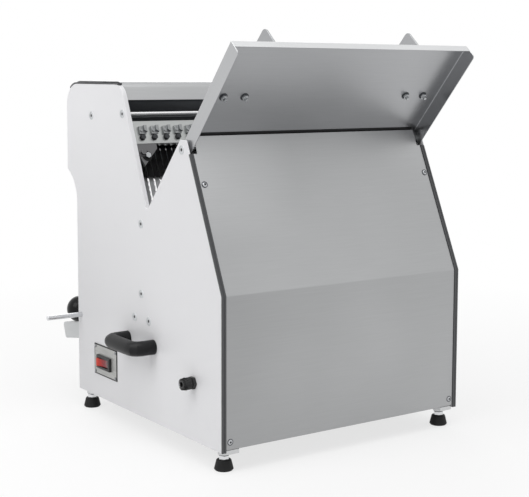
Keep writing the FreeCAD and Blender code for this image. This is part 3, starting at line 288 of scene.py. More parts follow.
def powder_coat(name, colour, roughness=0.42, plate_shaded=False):
    """Baked powder, with painted shade and light in its colour if asked."""
    material, tree, shader = new_finish(name, Base_Color=linear(colour), Roughness=roughness)
    if plate_shaded:
        tone = scaled(tree, linear(colour)[:3], coat_painted_light_and_shade(tree))
        tree.links.new(tone, shader.inputs["Base Color"])
    raise_skin(tree, shader, noise(tree, (1 / PEEL,) * 3), 0.05, 0.2 * MM)
    return material


white_coat = powder_coat("white_powder_coat", "#e4e4e6", plate_shaded=True)
shelf_coat = powder_coat("light_grey_coat", "#c3c5c6")
motor_coat = powder_coat("motor_grey_paint", "#3a4148", 0.35)
print("coats:", white_coat.name, shelf_coat.name, motor_coat.name)

# %% [markdown]
# ## Steel bars, bright rods, plastics and rubber
#
# Small parts carry the contrast of the machine: bright turned rods and screws, milled
# frame bars, zinc-plated fixings, and near-black plastic and rubber.

# %% Other finishes
TOOL_MARK = 0.5 * MM
SPARK_SKIN = 0.7 * MM
RIPPLE_SCALE = (250, 250, 250)
RIPPLE_SHARE = 0.4


def machined_steel(name, colour, roughness):
    """Turned or milled steel with fine tool marks."""
    material, tree, shader = new_finish(name, Base_Color=linear(colour), Metallic=1.0,
                                        Roughness=roughness)
    marks = noise(tree, (1 / TOOL_MARK,) * 3)
    rough = ranged(tree, marks, 0, 1, roughness - 0.06, roughness + 0.08)
    tree.links.new(rough, shader.inputs["Roughness"])
    return material


def moulded(name, colour, roughness, gloss=0.5):
    """Moulded plastic or rubber with a fine spark-eroded skin."""
    material, tree, shader = new_finish(name, Base_Color=linear(colour), Roughness=roughness,
                                        Specular_IOR_Level=gloss)
    raise_skin(tree, shader, noise(tree, (1 / SPARK_SKIN,) * 3), 0.12)
    return material


bright_steel = machined_steel("bright_turned_steel", "#dcdddf", 0.18)
zinc_steel = machined_steel("zinc_plated_steel", "#b9bbbe", 0.32)
frame_steel = machined_steel("milled_frame_bar", "#b4b6b5", 0.36)
black_plastic = moulded("black_moulded_plastic", "#1a1a1b", 0.42)
trim_plastic = moulded("charcoal_trim", "#4a4b4d", 0.5)
black_rubber = moulded("black_rubber", "#121213", 0.6, 0.3)
guide_plastic = moulded("black_guide_plastic", "#2a2a2b", 0.5)
switch_metal = machined_steel("brushed_switch_plate", "#c2c2c0", 0.4)
satin_rod_steel = machined_steel("ground_rod", "#f0f0f1", 0.22)
handle_plastic = moulded("handle_black_plastic", "#111113", 0.4, 0.28)
clamp_steel = machined_steel("cast_clamp_steel", "#939596", 0.3)
clamp_screw_steel = machined_steel("blackened_clamp_screw", "#444547", 0.3)
# Dark steel for the gussets; on the front blade frame it is painted shade.
gusset_steel = machined_steel("dark_gusset_and_shaded_frame_steel", "#6c6c6d", 0.38)
screw_steel = machined_steel("zinc_socket_screw", "#d2d4d6", 0.42)
gland_plastic = moulded("gland_nylon", "#1d1d1e", 0.38)
nut_steel = machined_steel("dull_hexagon_nut", "#8c8e90", 0.24)
stud_steel = machined_steel("bright_stud_nut", "#aeb0b2", 0.18)
bracket_steel = machined_steel("galvanised_bracket", "#cdcecf", 0.42)
# Dark steel; on the discs under the panel's domed screws it serves as painted shade.
dark_rod_and_shade_steel = machined_steel("dark_rod_and_painted_shade", "#55575a", 0.4)
# A bright finish for bars in the lid's folds: painted highlight.
fold_highlight_steel = machined_steel("fold_painted_highlight", "#e2e3e5", 0.3)
# Near-black for key sockets: painted shade of the recess.
key_socket_shade = moulded("key_socket_painted_shade", "#1c1c1d", 0.5)
grip_plastic = moulded("polished_black_grip", "#08080a", 0.24, 0.2)


def two_tone(name, axis, start, end, first, second, between=(), metal=None, **inputs):
    """A finish whose colour goes from one tone to another along an axis, in metres."""
    material, tree, shader = new_finish(name, **inputs)
    shifted = calculated(tree, "MULTIPLY_ADD", noise(tree, RIPPLE_SCALE),
                         (end - start) * RIPPLE_SHARE, axes_of(tree)[axis])
    share = ranged(tree, shifted, start, end)
    if metal:
        tree.links.new(ranged(tree, share, 0, 1, *metal), shader.inputs["Metallic"])
    colour = tone_ramp(tree, share, (0, first), (1, second), between)
    tree.links.new(colour, shader.inputs["Base Color"])
    return material


# The rocker's red is painted pale at its raised end, a painted highlight, and deep at its pressed end, painted
# shade.
rocker_low, rocker_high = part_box("rocker")
red_plastic = two_tone("red_rocker_painted_light", 1, rocker_low.y, rocker_high.y, "#e6aea2", "#5e0411",
                       ((0.16, "#cf4a36"), (0.34, "#b92a1d"), (0.62, "#930f1a")),
                       Roughness=0.2, Specular_IOR_Level=0.35, Coat_Weight=0.15)
# Painted light and shade: the blades are painted bright below loaf height and dark above it.
BRIGHT_BELOW = 0.444
DARK_ABOVE = 0.454
blade_steel = two_tone("blade_steel_painted_light_and_shade", 2, BRIGHT_BELOW, DARK_ABOVE, "#f0f1f2", "#141415",
                       metal=(0.45, 1.0), Roughness=0.34)
print("finishes:", len(bpy.data.materials))

FINISH = {
    "white_plate": white_coat, "stainless": panel_steel, "bright_steel": bright_steel,
    "zinc_steel": zinc_steel, "black_trim": trim_plastic, "black_plastic": black_plastic,
    "rubber": black_rubber, "red_plastic": red_plastic, "frame_steel": frame_steel,
    "blade_steel": blade_steel, "motor_paint": motor_coat, "grey_panel": shelf_coat,
    "switch_metal": switch_metal,
}
SLOT_OF = {part["node"]: part["material_slot"] for part in frame["record"]["subparts"]}
OWN_FINISH = {
    "top_hood": hood_steel, "lid_pan": lid_steel,
    "pusher_right": lid_steel, "pusher_left": lid_steel,
    "frame_guides": guide_plastic, "gussets": gusset_steel, "tie_rod_upper": satin_rod_steel,
    "tie_rod_feed": satin_rod_steel, "tie_rod_front": dark_rod_and_shade_steel,
    # The front blade frame takes the dark gusset steel as painted shade inside the machine.
    "blade_frame_front": gusset_steel, "foot_brackets": bracket_steel,
    "grip_right": grip_plastic, "grip_left": grip_plastic,
}
for name, item in nodes.items():
    item.data.materials.clear()
    item.data.materials.append(OWN_FINISH.get(name, FINISH[SLOT_OF[name]]))
print("dressed", len(nodes), "nodes")

# %% [markdown]
# ## Helpers for pieces
#
# Every remade piece goes the same way: a primitive is added, one object is selected, faces
# or edges are picked by their place or direction, an operator shapes them, and modifiers
# finish the surface. A weighted-normal modifier keeps the big flat faces flat while the
# small rounded edges shade smoothly.

# %% Helpers for pieces
def only(item):
    """Leaves edit mode and selects one object alone."""
    if bpy.context.mode != "OBJECT":
        bpy.ops.object.mode_set(mode="OBJECT")
    bpy.ops.object.select_all(action="DESELECT")
    item.select_set(True)
    bpy.context.view_layer.objects.active = item


def pick(item, test=lambda place, direction: True, kind="FACE"):
    """Enters edit mode with only the faces or edges that pass a test of place and direction."""
    only(item)
    bpy.ops.object.mode_set(mode="EDIT")
    bpy.ops.mesh.select_mode(type=kind)
    bpy.ops.mesh.select_all(action="DESELECT")
    bpy.ops.object.mode_set(mode="OBJECT")
    mesh = item.data
    if kind == "FACE":
        for face in mesh.polygons:
            face.select = test(face.center, face.normal)
    else:
        for edge in mesh.edges:
            start, end = (mesh.vertices[number].co for number in edge.vertices)
            edge.select = test((start + end) / 2, (end - start).normalized())
    bpy.ops.object.mode_set(mode="EDIT")


def draw_out(*move):
    """Extrudes what is selected in edit mode along a move."""
    bpy.ops.mesh.extrude_region_move(TRANSFORM_OT_translate={"value": move})


def apply_modifier(item, kind, **settings):
    """Adds a modifier with its settings and applies it."""
    only(item)
    modifier = item.modifiers.new(kind.lower(), kind)
    for name, value in settings.items():
        setattr(modifier, name, value)
    bpy.ops.object.modifier_apply(modifier=modifier.name)


def soften(item, radius, segments=2, angle=50):
    """Rounds every edge that is sharper than an angle."""
    apply_modifier(item, "BEVEL", width=radius, segments=segments, limit_method="ANGLE",
                   angle_limit=math.radians(angle), use_clamp_overlap=False)


def repeated(item, count, step):
    """Copies a piece in a row, each copy a step further."""
    apply_modifier(item, "ARRAY", count=count, use_relative_offset=False, use_constant_offset=True,
                   constant_offset_displace=step)


def settle(item):
    """Puts a piece's place and turn into its mesh."""
    only(item)
    bpy.ops.object.transform_apply(location=True, rotation=True, scale=True)


def joined(items):
    """One object of several; the first gives its place."""
    only(items[0])
    for item in items[1:]:
        item.select_set(True)
    bpy.ops.object.join()
    return items[0]


def complete(item, name, body, finish, replaces=(), smooth=40):
    """Names, shades and paints a finished piece, and lets it ride on its body."""
    settle(item)
    item.name = name
    bpy.ops.object.shade_smooth_by_angle(angle=math.radians(smooth))
    apply_modifier(item, "WEIGHTED_NORMAL", keep_sharp=True)
    item.data.materials.clear()
    item.data.materials.append(finish)
    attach(item, body)
    if replaces:
        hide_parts(*replaces)
    print(name, "faces:", len(item.data.polygons))


def centre_of(node):
    """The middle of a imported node's box."""
    low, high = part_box(node)
    return (low + high) / 2


print("piece helpers ready")

# %% [markdown]
# ## Eased edges
#
# No real plate or bar has a knife edge: it is deburred, folded or moulded to a small
# radius, and that radius catches a thin line of light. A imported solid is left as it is. Its
# copy has its loose triangles merged into whole faces, so that a Bevel modifier finds the
# true edges, and the copy then stands for the solid.

# %% Eased edges
BODY_OF = {node: body for body, members in frame["record"]["behaviour"]["bodies"].items()
           for node in members}
EASED = {
    0.7: ("side_plate_right", "side_plate_left", "motor", "back_panel"),
    0.8: ("blade_frame_rear",),
    0.5: ("blade_frame_front", "lid_pan", "pusher_right", "pusher_left", "gussets",
          "foot_brackets", "shaft_blocks", "motor_rails", "feed_rail", "drive_pulley",
          "motor_pulley"),
    0.4: ("foot_bolt_back_right", "foot_bolt_back_left", "foot_bolt_front_right",
          "foot_bolt_front_left", "hinge_rod", "base_pan", "outlet_chute"),
    0.35: ("top_hood", "back_trim_right", "back_trim_left", "top_trim_right", "top_trim_left",
           "feed_table", "front_panel", "frame_guides", "lid_buffer", "crumb_tray"),
    1.5: ("outlet_shelf",),
    1.0: ("shelf_rod",),
}


def own_copy(node, name):
    """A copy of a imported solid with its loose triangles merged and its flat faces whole."""
    item = bpy.data.objects.new(name, nodes[node].data.copy())
    scene.collection.objects.link(item)
    only(item)
    bpy.ops.object.mode_set(mode="EDIT")
    bpy.ops.mesh.select_all(action="SELECT")
    bpy.ops.mesh.remove_doubles(threshold=1e-6)
    bpy.ops.mesh.dissolve_limited(angle_limit=math.radians(0.5))
    bpy.ops.object.mode_set(mode="OBJECT")
    return item


for radius, names in EASED.items():
    for node in names:
        piece = own_copy(node, "eased_" + node)
        soften(piece, radius * MM)
        complete(piece, "eased_" + node, BODY_OF[node], nodes[node].data.materials[0], (node,))

# %% [markdown]
# ## Rim of the lid
#
# The lid is a shallow pan. Its outer rim is given a lighter copy of the sheet's finish, a
# painted highlight, at the end more than at the sides. The rim's faces are picked by
# direction: outwards to the sides, and up along the lid, where "up" follows from the
# normal of the largest face.

# %% Rim of the lid
lid = bpy.data.objects["eased_lid_pan"]
lid_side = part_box("lid_pan")[1].x
towards_viewer = (CAMERA_PLACE - centre_of("lid_pan")).normalized()
inner_sheet = max((face for face in lid.data.polygons if face.normal.dot(towards_viewer) > 0.5),
                  key=lambda face: face.area)
sheet_normal = inner_sheet.normal.copy()
sheet_level = inner_sheet.center.dot(sheet_normal)
lid_up = sheet_normal.cross(Vector((1, 0, 0)))
if lid_up.z < 0:
    lid_up.negate()
lid.data.materials.append(lid_rim_highlight_steel)
lid.data.materials.append(lid_flange_highlight_steel)
for face in lid.data.polygons:
    if face.normal.dot(lid_up) > 0.9:
        face.material_index = 1
    elif abs(face.normal.x) > 0.9 and abs(face.center.x) > lid_side - MM:
        face.material_index = 2
print("rim faces:", sum(face.material_index > 0 for face in lid.data.polygons))

# %% [markdown]
# ## Carry handles
#
# A bow handle is one thick moulded tube with two tight bends, bolted through the plate
# from inside. A circle is the tube's section: it is extruded straight out of the plate,
# spun round the bend, extruded along the grip, and spun and extruded back.

# %% Carry handles
def carry_handle(node, side):
    """A tube bent twice that stands out of a plate, to the right or left."""
    low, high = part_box(node)
    height = (low.z + high.z) / 2
    radius = (high.z - low.z) / 2
    bend = radius + 0.5 * MM
    straight = side * (high.x - low.x - radius - bend)
    grip = high.y - low.y - 2 * radius - 2 * bend
    plate = low.x if side > 0 else high.x
    bpy.ops.mesh.primitive_circle_add(vertices=40, radius=radius, fill_type="NGON",
                                      location=(plate, low.y + radius, height),
                                      rotation=(0, math.radians(90 * side), 0))
    tube = bpy.context.object
    settle(tube)
    bpy.ops.object.mode_set(mode="EDIT")
    bpy.ops.mesh.select_all(action="SELECT")
    draw_out(straight, 0, 0)
    turn = side * math.radians(-90)
    centre = Vector((plate + straight, low.y + radius + bend, height))
    bpy.ops.mesh.spin(steps=3, angle=turn, center=centre, axis=(0, 0, 1))
    draw_out(0, grip, 0)
    centre.y += grip
    bpy.ops.mesh.spin(steps=3, angle=turn, center=centre, axis=(0, 0, 1))
    draw_out(-straight, 0, 0)
    bpy.ops.mesh.select_all(action="SELECT")
    bpy.ops.mesh.remove_doubles(threshold=1e-5)
    bpy.ops.mesh.normals_make_consistent(inside=False)
    bpy.ops.object.mode_set(mode="OBJECT")
    return tube


for side, name in ((1, "right"), (-1, "left")):
    node = f"carry_handle_{name}"
    complete(carry_handle(node, side), f"bow_handle_{name}", "housing", handle_plastic, (node,),
             20)

# %% [markdown]
# ## Blades
#
# A bread blade is a thin spring-steel strip with a scalloped edge towards the loaf. A grid
# is stood up as the strip, with four steps to a scallop. Its edge points are selected by
# their place in the scallop and moved in, and a Solidify modifier gives the thickness. One
# blade is copied in a row with an Array modifier and leaned to the stroke of the frames.

# %% Blades
BLADE_WIDTH = 16 * MM
BLADE_THICK = 1 * MM
SCALLOP = 9 * MM
SCALLOP_DEPTH = 1.8 * MM
BLADE_STEP = 24 * MM
# For each row its place, its number of blades, its body and the side its clamps face.
BLADE_ROWS = (("rear", 19, "rear_blade_frame", 1), ("front", 18, "front_blade_frame", -1))
stroke_axis = Vector(joints["rear_frame_stroke"]["axis"]).normalized()
low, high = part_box("blades_rear")
blade_length = (high.z - low.z - BLADE_WIDTH * -stroke_axis.y) / stroke_axis.z
lean = Matrix.Rotation(math.atan2(-stroke_axis.y, stroke_axis.z), 4, "X")
blade_frame_of = Matrix.Translation((0, (low.y + high.y) / 2, (low.z + high.z) / 2)) @ lean


def move_points(item, test, move):
    """Moves the points of a mesh that pass a test of place, as with the move tool."""
    only(item)
    bpy.ops.object.mode_set(mode="EDIT")
    bpy.ops.mesh.select_mode(type="VERT")
    bpy.ops.mesh.select_all(action="DESELECT")
    bpy.ops.object.mode_set(mode="OBJECT")
    for point in item.data.vertices:
        point.select = test(point.co)
    bpy.ops.object.mode_set(mode="EDIT")
    bpy.ops.transform.translate(value=move)
    bpy.ops.object.mode_set(mode="OBJECT")


def toothed_blades(node, count):
    """A row of blades, their scallops cut into the edge that faces the loaf."""
    quarters = int(blade_length / SCALLOP) * 4
    bpy.ops.mesh.primitive_grid_add(x_subdivisions=quarters, y_subdivisions=3, size=1)
    strip = bpy.context.object
    strip.scale = (blade_length, BLADE_WIDTH, 1)
    settle(strip)
    strip.rotation_euler = (0, math.radians(90), 0)
    settle(strip)
    edge = BLADE_WIDTH / 2
    step = blade_length / quarters

    def phase(co):
        return round((co.z + blade_length / 2) / step) % 4

    move_points(strip, lambda co: co.y > edge * 0.9 and phase(co) in (1, 3),
                (0, -SCALLOP_DEPTH * 0.7, 0))
    move_points(strip, lambda co: co.y > edge * 0.6 and phase(co) == 2, (0, -SCALLOP_DEPTH, 0))
    apply_modifier(strip, "SOLIDIFY", thickness=BLADE_THICK, offset=0)
    repeated(strip, count, (BLADE_STEP, 0, 0))
    first_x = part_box(node)[0].x + BLADE_THICK / 2
    strip.matrix_world = blade_frame_of @ Matrix.Translation((first_x, 0, 0))
    settle(strip)
    return strip


for place, count, body, _ in BLADE_ROWS:
    complete(toothed_blades("blades_" + place, count), "scalloped_blades_" + place, body,
             blade_steel, ("blades_" + place,), 25)

# %% [markdown]
# ## Blade clamps
#
# Each blade's upper end is held by a hook-shaped clamp with a hexagon screw on a washer. A
# cube is the clamp's foot, and its upper left part is extruded into the hook. The screw is a
# six-sided cylinder with rounded edges. It is darker than the clamp, so the screws of a row
# are a piece of their own.

# %% Blade clamps
CLAMP_WIDTH = 13 * MM
CLAMP_THICK = 5 * MM
CLAMP_TALL = 15 * MM
CLAMP_BELOW = 3 * MM
HOOK_SIDE = -0.6 * MM
HOOK_HEIGHT = 3 * MM
SCREW_SIDE = 1 * MM
SCREW_DROP = 8.5 * MM
BAR_FACE = 20.3 * MM
ROW_DROP = 2 * MM
FACING_Y = (math.radians(90), 0, 0)


def hexagon_head(radius, height, place, turn=(0, 0, 0), edge=0.5 * MM):
    """A six-sided cylinder with rounded edges."""
    bpy.ops.mesh.primitive_cylinder_add(vertices=6, radius=radius, depth=height, location=place,
                                        rotation=turn)
    head = bpy.context.object
    settle(head)
    soften(head, edge)
    return head


def round_disc(radius, height, place=(0, 0, 0), turn=(0, 0, 0), edge=0.25 * MM, sides=28):
    """A round disc with rounded edges."""
    bpy.ops.mesh.primitive_cylinder_add(vertices=sides, radius=radius, depth=height, location=place,
                                        rotation=turn)
    disc = bpy.context.object
    settle(disc)
    soften(disc, edge)
    return disc


def clamp():
    """One clamp on the plane Y = 0, standing out towards +Y, with the round nut of its hook."""
    bpy.ops.mesh.primitive_cube_add(size=1, location=(0, CLAMP_THICK / 2,
                                                      CLAMP_TALL / 2 - CLAMP_BELOW))
    foot = bpy.context.object
    foot.scale = (CLAMP_WIDTH, CLAMP_THICK, CLAMP_TALL)
    settle(foot)
    # Two bisects outline the upper half of one side, which is drawn out as the hook.
    pick(foot)
    bpy.ops.mesh.bisect(plane_co=(HOOK_SIDE, 0, 0), plane_no=(1, 0, 0))
    bpy.ops.mesh.select_all(action="SELECT")
    bpy.ops.mesh.bisect(plane_co=(0, 0, HOOK_HEIGHT), plane_no=(-0.6, 0, 1))
    pick(foot, lambda centre, normal: normal.y > 0.9 and centre.x < HOOK_SIDE
         and centre.z > HOOK_HEIGHT)
    draw_out(0, CLAMP_THICK, 0)
    only(foot)
    soften(foot, 0.6 * MM, angle=40)
    nut = round_disc(2.6 * MM, 2 * MM, (2.8 * MM, CLAMP_THICK + 0.8 * MM, 3.2 * MM), FACING_Y)
    return joined([foot, nut])


def clamp_screw():
    """The hexagon screw and washer below a clamp."""
    washer = round_disc(5.4 * MM, 1 * MM, (SCREW_SIDE, 0.5 * MM, -SCREW_DROP), FACING_Y)
    screw = hexagon_head(4.9 * MM, 6 * MM, (SCREW_SIDE, 3 * MM, -SCREW_DROP), FACING_Y)
    return joined([washer, screw])


def clamp_row(make, node, count, outward):
    """A row of clamps or screws on the upper bar of a blade frame."""
    row = make()
    repeated(row, count, (BLADE_STEP, 0, 0))
    height = (blade_frame_of.inverted() @ centre_of(node)).z - ROW_DROP
    if outward < 0:
        # The front row faces the operator: it is turned half round the upright.
        row.data.transform(Matrix.Rotation(math.pi, 4, "Z"))
    first = (-outward * (count - 1) * BLADE_STEP / 2, outward * BAR_FACE, height)
    row.matrix_world = blade_frame_of @ Matrix.Translation(first)
    settle(row)
    return row


for place, count, body, outward in BLADE_ROWS:
    node = "clamps_" + place
    complete(clamp_row(clamp, node, count, outward), "blade_" + node, body, clamp_steel, (node,))
    complete(clamp_row(clamp_screw, node, count, outward), "clamp_screws_" + place, body,
             clamp_screw_steel)

# %% [markdown]
# ## Screws of the plates and the panel
#
# The plates' cross rods are held by flush socket screws with a dished face, and the back
# panel by low domed screws, each on a dark disc that is painted shade round its head. Each
# kind is made once, upright, and aimed along the surface it sits in. A key socket is a thin
# dark hexagon in the middle of the head, painted shade where the key's recess would be.

# %% Screws
def aimed(item, place, direction):
    """Turns a piece made along Z to a direction and moves it to its place."""
    turn = Vector((0, 0, 1)).rotation_difference(Vector(direction)).to_matrix().to_4x4()
    item.matrix_world = Matrix.Translation(place) @ turn
    settle(item)
    return item


def solids_of(node, apart=0.02):
    """Middles of a node's separate small solids: points nearer than a distance belong together."""
    groups = []
    for point in nodes[node].data.vertices:
        for group in groups:
            if (group[0] - point.co).length < apart:
                group.append(point.co.copy())
                break
        else:
            groups.append([point.co.copy()])
    return [(Vector(map(min, *group)) + Vector(map(max, *group))) / 2 for group in groups]


DOME_RADIUS = 4.8 * MM
DOME_RISE = 1.4 * MM
HEAD_STANDS = 2.8 * MM
WASHER_THICK = 0.8 * MM
BACK_SLOPE = math.radians(66)
UPRIGHT_BELOW = 0.2


def flush_screw():
    """A low round head with a raised rim and a dished face, its middle at Z = 0."""
    head = round_disc(7.6 * MM, 1.4 * MM, edge=0.5 * MM, sides=36)
    pick(head, lambda centre, normal: normal.z > 0.9 and centre.z > 0.6 * MM)
    bpy.ops.mesh.inset(thickness=1.3 * MM, depth=-0.35 * MM)
    only(head)
    return head


def button_screw():
    """A low dome, its base at Z = 0."""
    ball = (DOME_RADIUS ** 2 + DOME_RISE ** 2) / (2 * DOME_RISE)
    bpy.ops.mesh.primitive_uv_sphere_add(segments=36, ring_count=64, radius=ball,
                                         location=(0, 0, DOME_RISE - ball))
    dome = bpy.context.object
    settle(dome)
    pick(dome)
    bpy.ops.mesh.bisect(plane_co=(0, 0, 0), plane_no=(0, 0, 1), use_fill=True, clear_inner=True)
    only(dome)
    return dome


def socket(radius, rise):
    """A thin dark hexagon, painted shade where a key goes in."""
    return hexagon_head(radius, 0.3 * MM, (0, 0, rise), edge=0.05 * MM)


def screws_at(spots, make, key_radius, key_rise, name, finish, node):
    """Screw heads at places with their directions, and their dark sockets as a second piece."""
    heads = [aimed(make(), place, outward) for place, outward in spots]
    keys = [aimed(socket(key_radius, key_rise), place, outward) for place, outward in spots]
    complete(joined(heads), name, "housing", finish, (node,))
    complete(joined(keys), name + "_sockets", "housing", key_socket_shade)


plate_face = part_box("side_plate_right")[1].x
spots = []
for middle in solids_of("plate_screws"):
    side = 1 if middle.x > 0 else -1
    spots.append((Vector((side * plate_face, middle.y, middle.z)), (side, 0, 0)))
screws_at(spots, flush_screw, 2.9 * MM, 0.4 * MM, "flush_socket_screws", screw_steel,
          "plate_screws")

spots = []
for middle in solids_of("panel_screws"):
    # The lowest pair sits in the upright part of the panel, the others in its slope.
    slope = math.radians(90) if middle.z < UPRIGHT_BELOW else BACK_SLOPE
    outward = Vector((0, math.sin(slope), math.cos(slope)))
    spots.append((middle + outward * HEAD_STANDS, outward))
screws_at(spots, button_screw, 1.9 * MM, DOME_RISE - 0.1 * MM, "panel_button_screws", zinc_steel,
          "panel_screws")
# Dark discs under the domes: painted shade round each head.
panel_shade_rings = [aimed(round_disc(5.5 * MM, WASHER_THICK), place, outward)
           for place, outward in spots]
complete(joined(panel_shade_rings), "panel_screw_shade_rings", "housing", dark_rod_and_shade_steel)

# %% [markdown]
# ## Painted shade inside the hood
#
# The inside of the hood's front skirt faces the dark of the machine, so its steel is
# painted much darker than the bright outside, as painted shade. It is the same sheet: only
# the skirt's inner faces and the underside get the second, darker finish, picked by place and normal.

# %% Painted shade inside the hood
hood = bpy.data.objects["eased_top_hood"]
hood.data.materials.append(hood_inner_shade_steel)
hood_low, hood_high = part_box("top_hood")
SKIRT_DEPTH = 12 * MM
for face in hood.data.polygons:
    inside = face.center.y < hood_low.y + SKIRT_DEPTH and face.normal.y > 0.3
    if inside or face.normal.z < -0.3:
        face.material_index = 1
print("lined faces:", sum(face.material_index == 1 for face in hood.data.polygons))

# %% [markdown]
# ## Outlet flap
#
# Under the hood's skirt hangs a dark flap that keeps crumbs inside and stops a hand from
# reaching the blades. It is a thin strip of smoked plastic whose lower edge is cut into
# slanting fingers: a grid whose every second edge point is moved up and to the side.

# %% Outlet flap
FLAP_DROP = 38 * MM
FLAP_TUCKED = 6 * MM
FLAP_INSET = 3.2 * MM
FLAP_THICK = 2 * MM
FINGERS = 40
FINGER_RISE = 7 * MM
FINGER_LEAN = 0.8
flap_tall = FLAP_DROP + FLAP_TUCKED
flap_width = 0.94 * (hood_high.x - hood_low.x)
bpy.ops.mesh.primitive_grid_add(x_subdivisions=FINGERS * 2, y_subdivisions=2, size=1)
flap = bpy.context.object
flap.scale = (flap_width, flap_tall, 1)
settle(flap)
flap.rotation_euler = FACING_Y
settle(flap)
finger = flap_width / FINGERS / 2
low_edge = min(point.co.z for point in flap.data.vertices)
move_points(flap, lambda co: co.z < low_edge + MM and round((co.x + flap_width / 2) / finger) % 2,
            (finger * FINGER_LEAN, 0, FINGER_RISE))
apply_modifier(flap, "SOLIDIFY", thickness=FLAP_THICK, offset=0)
flap.location = (0, hood_low.y + FLAP_INSET, hood_low.z + FLAP_TUCKED - flap_tall / 2)
complete(flap, "outlet_flap", "housing", guide_plastic)

# %% [markdown]
# ## Gusset bolts
#
# Each pointed gusset hangs from the frame by a bolt on a dark rubber washer. The frames
# lean, so the bolts are aimed along the frames' own normal.

# %% Gusset bolts
GUSSET_FACE = 2.2 * MM
GUSSET_BOLT_DROP = 2 * MM
frame_normal = lean @ Vector((0, 1, 0))
frame_up = lean @ Vector((0, 0, 1))
bolts = []
rings = []
for middle in solids_of("gussets", apart=0.09):
    face = middle + frame_normal * GUSSET_FACE - frame_up * GUSSET_BOLT_DROP
    rings.append(aimed(round_disc(9.2 * MM, 1.6 * MM, (0, 0, 0.6 * MM)), face, frame_normal))
    bolts.append(aimed(hexagon_head(5.6 * MM, 6 * MM, (0, 0, 3.4 * MM)), face, frame_normal))
complete(joined(bolts), "gusset_bolts", "rear_blade_frame", stud_steel)
complete(joined(rings), "gusset_washers", "rear_blade_frame", black_rubber)

# %% [markdown]
# ## Switch plate, bezel and rocker
#
# The power switch snaps into an aluminium plate with a thin black border and four rivets.
# The bezel is a moulded frame with an opening cut through it. The rocker is dished: a
# block with a large cylinder cut out of its outer face, its edges rounded.

# %% Switch
plate_low, plate_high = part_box("switch_plate")
pivot = Vector(joints["power_switch"]["pos_m"])
BORDER = 2.2 * MM
RIVET_HEIGHT = 1.2 * MM
RIVET_INSET = 5 * MM
BEZEL_TALL = 25 * MM
BEZEL_LONG = 51 * MM
BEZEL_OUT = 5 * MM
ROCKER_TALL = 15.2 * MM
ROCKER_LONG = 38 * MM
ROCKER_OUT = 6.6 * MM
ROCKER_SUNK = 6 * MM
GAP_LONG = 2.6 * MM
GAP_TALL = 0.8 * MM
ROCKER_TILT = math.radians(7)
STREAK_SCALE = (900, 30, 900)
label_face = plate_high.x - RIVET_HEIGHT


def bordered_aluminium():
    """Brushed aluminium: fine streaks along its length, and a black line at its edge."""
    material, tree, shader = new_finish("bordered_aluminium", Metallic=0.6, Roughness=0.45)
    place = axes_of(tree)
    gaps = []
    for axis in (1, 2):
        low, high = plate_low[axis], plate_high[axis]
        off = calculated(tree, "SUBTRACT", place[axis], (low + high) / 2)
        off = calculated(tree, "ABSOLUTE", off)
        gaps.append(calculated(tree, "SUBTRACT", (high - low) / 2, off))
    line = calculated(tree, "LESS_THAN", calculated(tree, "MINIMUM", *gaps), BORDER)
    metal = tone_ramp(tree, noise(tree, STREAK_SCALE), (0, "#959694"), (1, "#c6c6c4"))
    mixed = add_node(tree, "ShaderNodeMix", {"data_type": "RGBA"}, _0=line, _6=metal,
                     _7=linear("#2a2b2b"))
    tree.links.new(mixed.outputs[2], shader.inputs["Base Color"])
    return material


def box_piece(centre, size, edge=0):
    """A cube stretched to a size at a place, with rounded edges if asked."""
    bpy.ops.mesh.primitive_cube_add(size=1, location=centre)
    item = bpy.context.object
    item.scale = size
    settle(item)
    if edge:
        soften(item, edge, 3)
    return item


def cut_out(item, tool):
    """Cuts one piece's shape out of another and removes the cutter."""
    apply_modifier(item, "BOOLEAN", operation="DIFFERENCE", object=tool, solver="EXACT")
    bpy.data.objects.remove(tool)


def opening():
    """The way through the plate and bezel in which the rocker tips."""
    return box_piece(pivot, (70 * MM, ROCKER_LONG + GAP_LONG, ROCKER_TALL + GAP_TALL))


label_middle = centre_of("switch_plate")
label_size = plate_high - plate_low
label = box_piece(((plate_low.x + label_face) / 2, label_middle.y, label_middle.z),
                  (label_face - plate_low.x, label_size.y, label_size.z))
cut_out(label, opening())
soften(label, 0.25 * MM)
complete(label, "bordered_switch_plate", "housing", bordered_aluminium(), ("switch_plate",))

rivets = []
for along in (-1, 1):
    for upward in (-1, 1):
        spot = Vector((label_face, label_middle.y + along * (label_size.y / 2 - RIVET_INSET),
                       label_middle.z + upward * (label_size.z / 2 - RIVET_INSET)))
        rivet = round_disc(2.8 * MM, 1.6 * MM, (0, 0, 0.6 * MM), edge=0.7 * MM)
        rivets.append(aimed(rivet, spot, (1, 0, 0)))
complete(joined(rivets), "switch_plate_rivets", "housing", nut_steel)

bezel = box_piece((label_face + BEZEL_OUT / 2 - 0.5 * MM, pivot.y, pivot.z),
                  (BEZEL_OUT + MM, BEZEL_LONG, BEZEL_TALL), 1.4 * MM)
cut_out(bezel, opening())
complete(bezel, "rocker_bezel", "housing", black_plastic, ("switch_bezel",))

# The dish is part of a large cylinder. The rocker is tipped to its rest place, front end out.
SAG = 3.2 * MM
dish_radius = ((ROCKER_LONG / 2) ** 2 + SAG ** 2) / (2 * SAG)
rocker = box_piece(((ROCKER_OUT - ROCKER_SUNK) / 2, 0, 0),
                   (ROCKER_OUT + ROCKER_SUNK, ROCKER_LONG, ROCKER_TALL))
bpy.ops.mesh.primitive_cylinder_add(vertices=160, radius=dish_radius, depth=40 * MM,
                                    location=(ROCKER_OUT - SAG + dish_radius, 0, 0))
cut_out(rocker, bpy.context.object)
soften(rocker, 0.9 * MM, 3)
rocker.matrix_world = Matrix.Translation(pivot) @ Matrix.Rotation(ROCKER_TILT, 4, "Z")
complete(rocker, "dished_rocker", "power_rocker", red_plastic, ("rocker",))

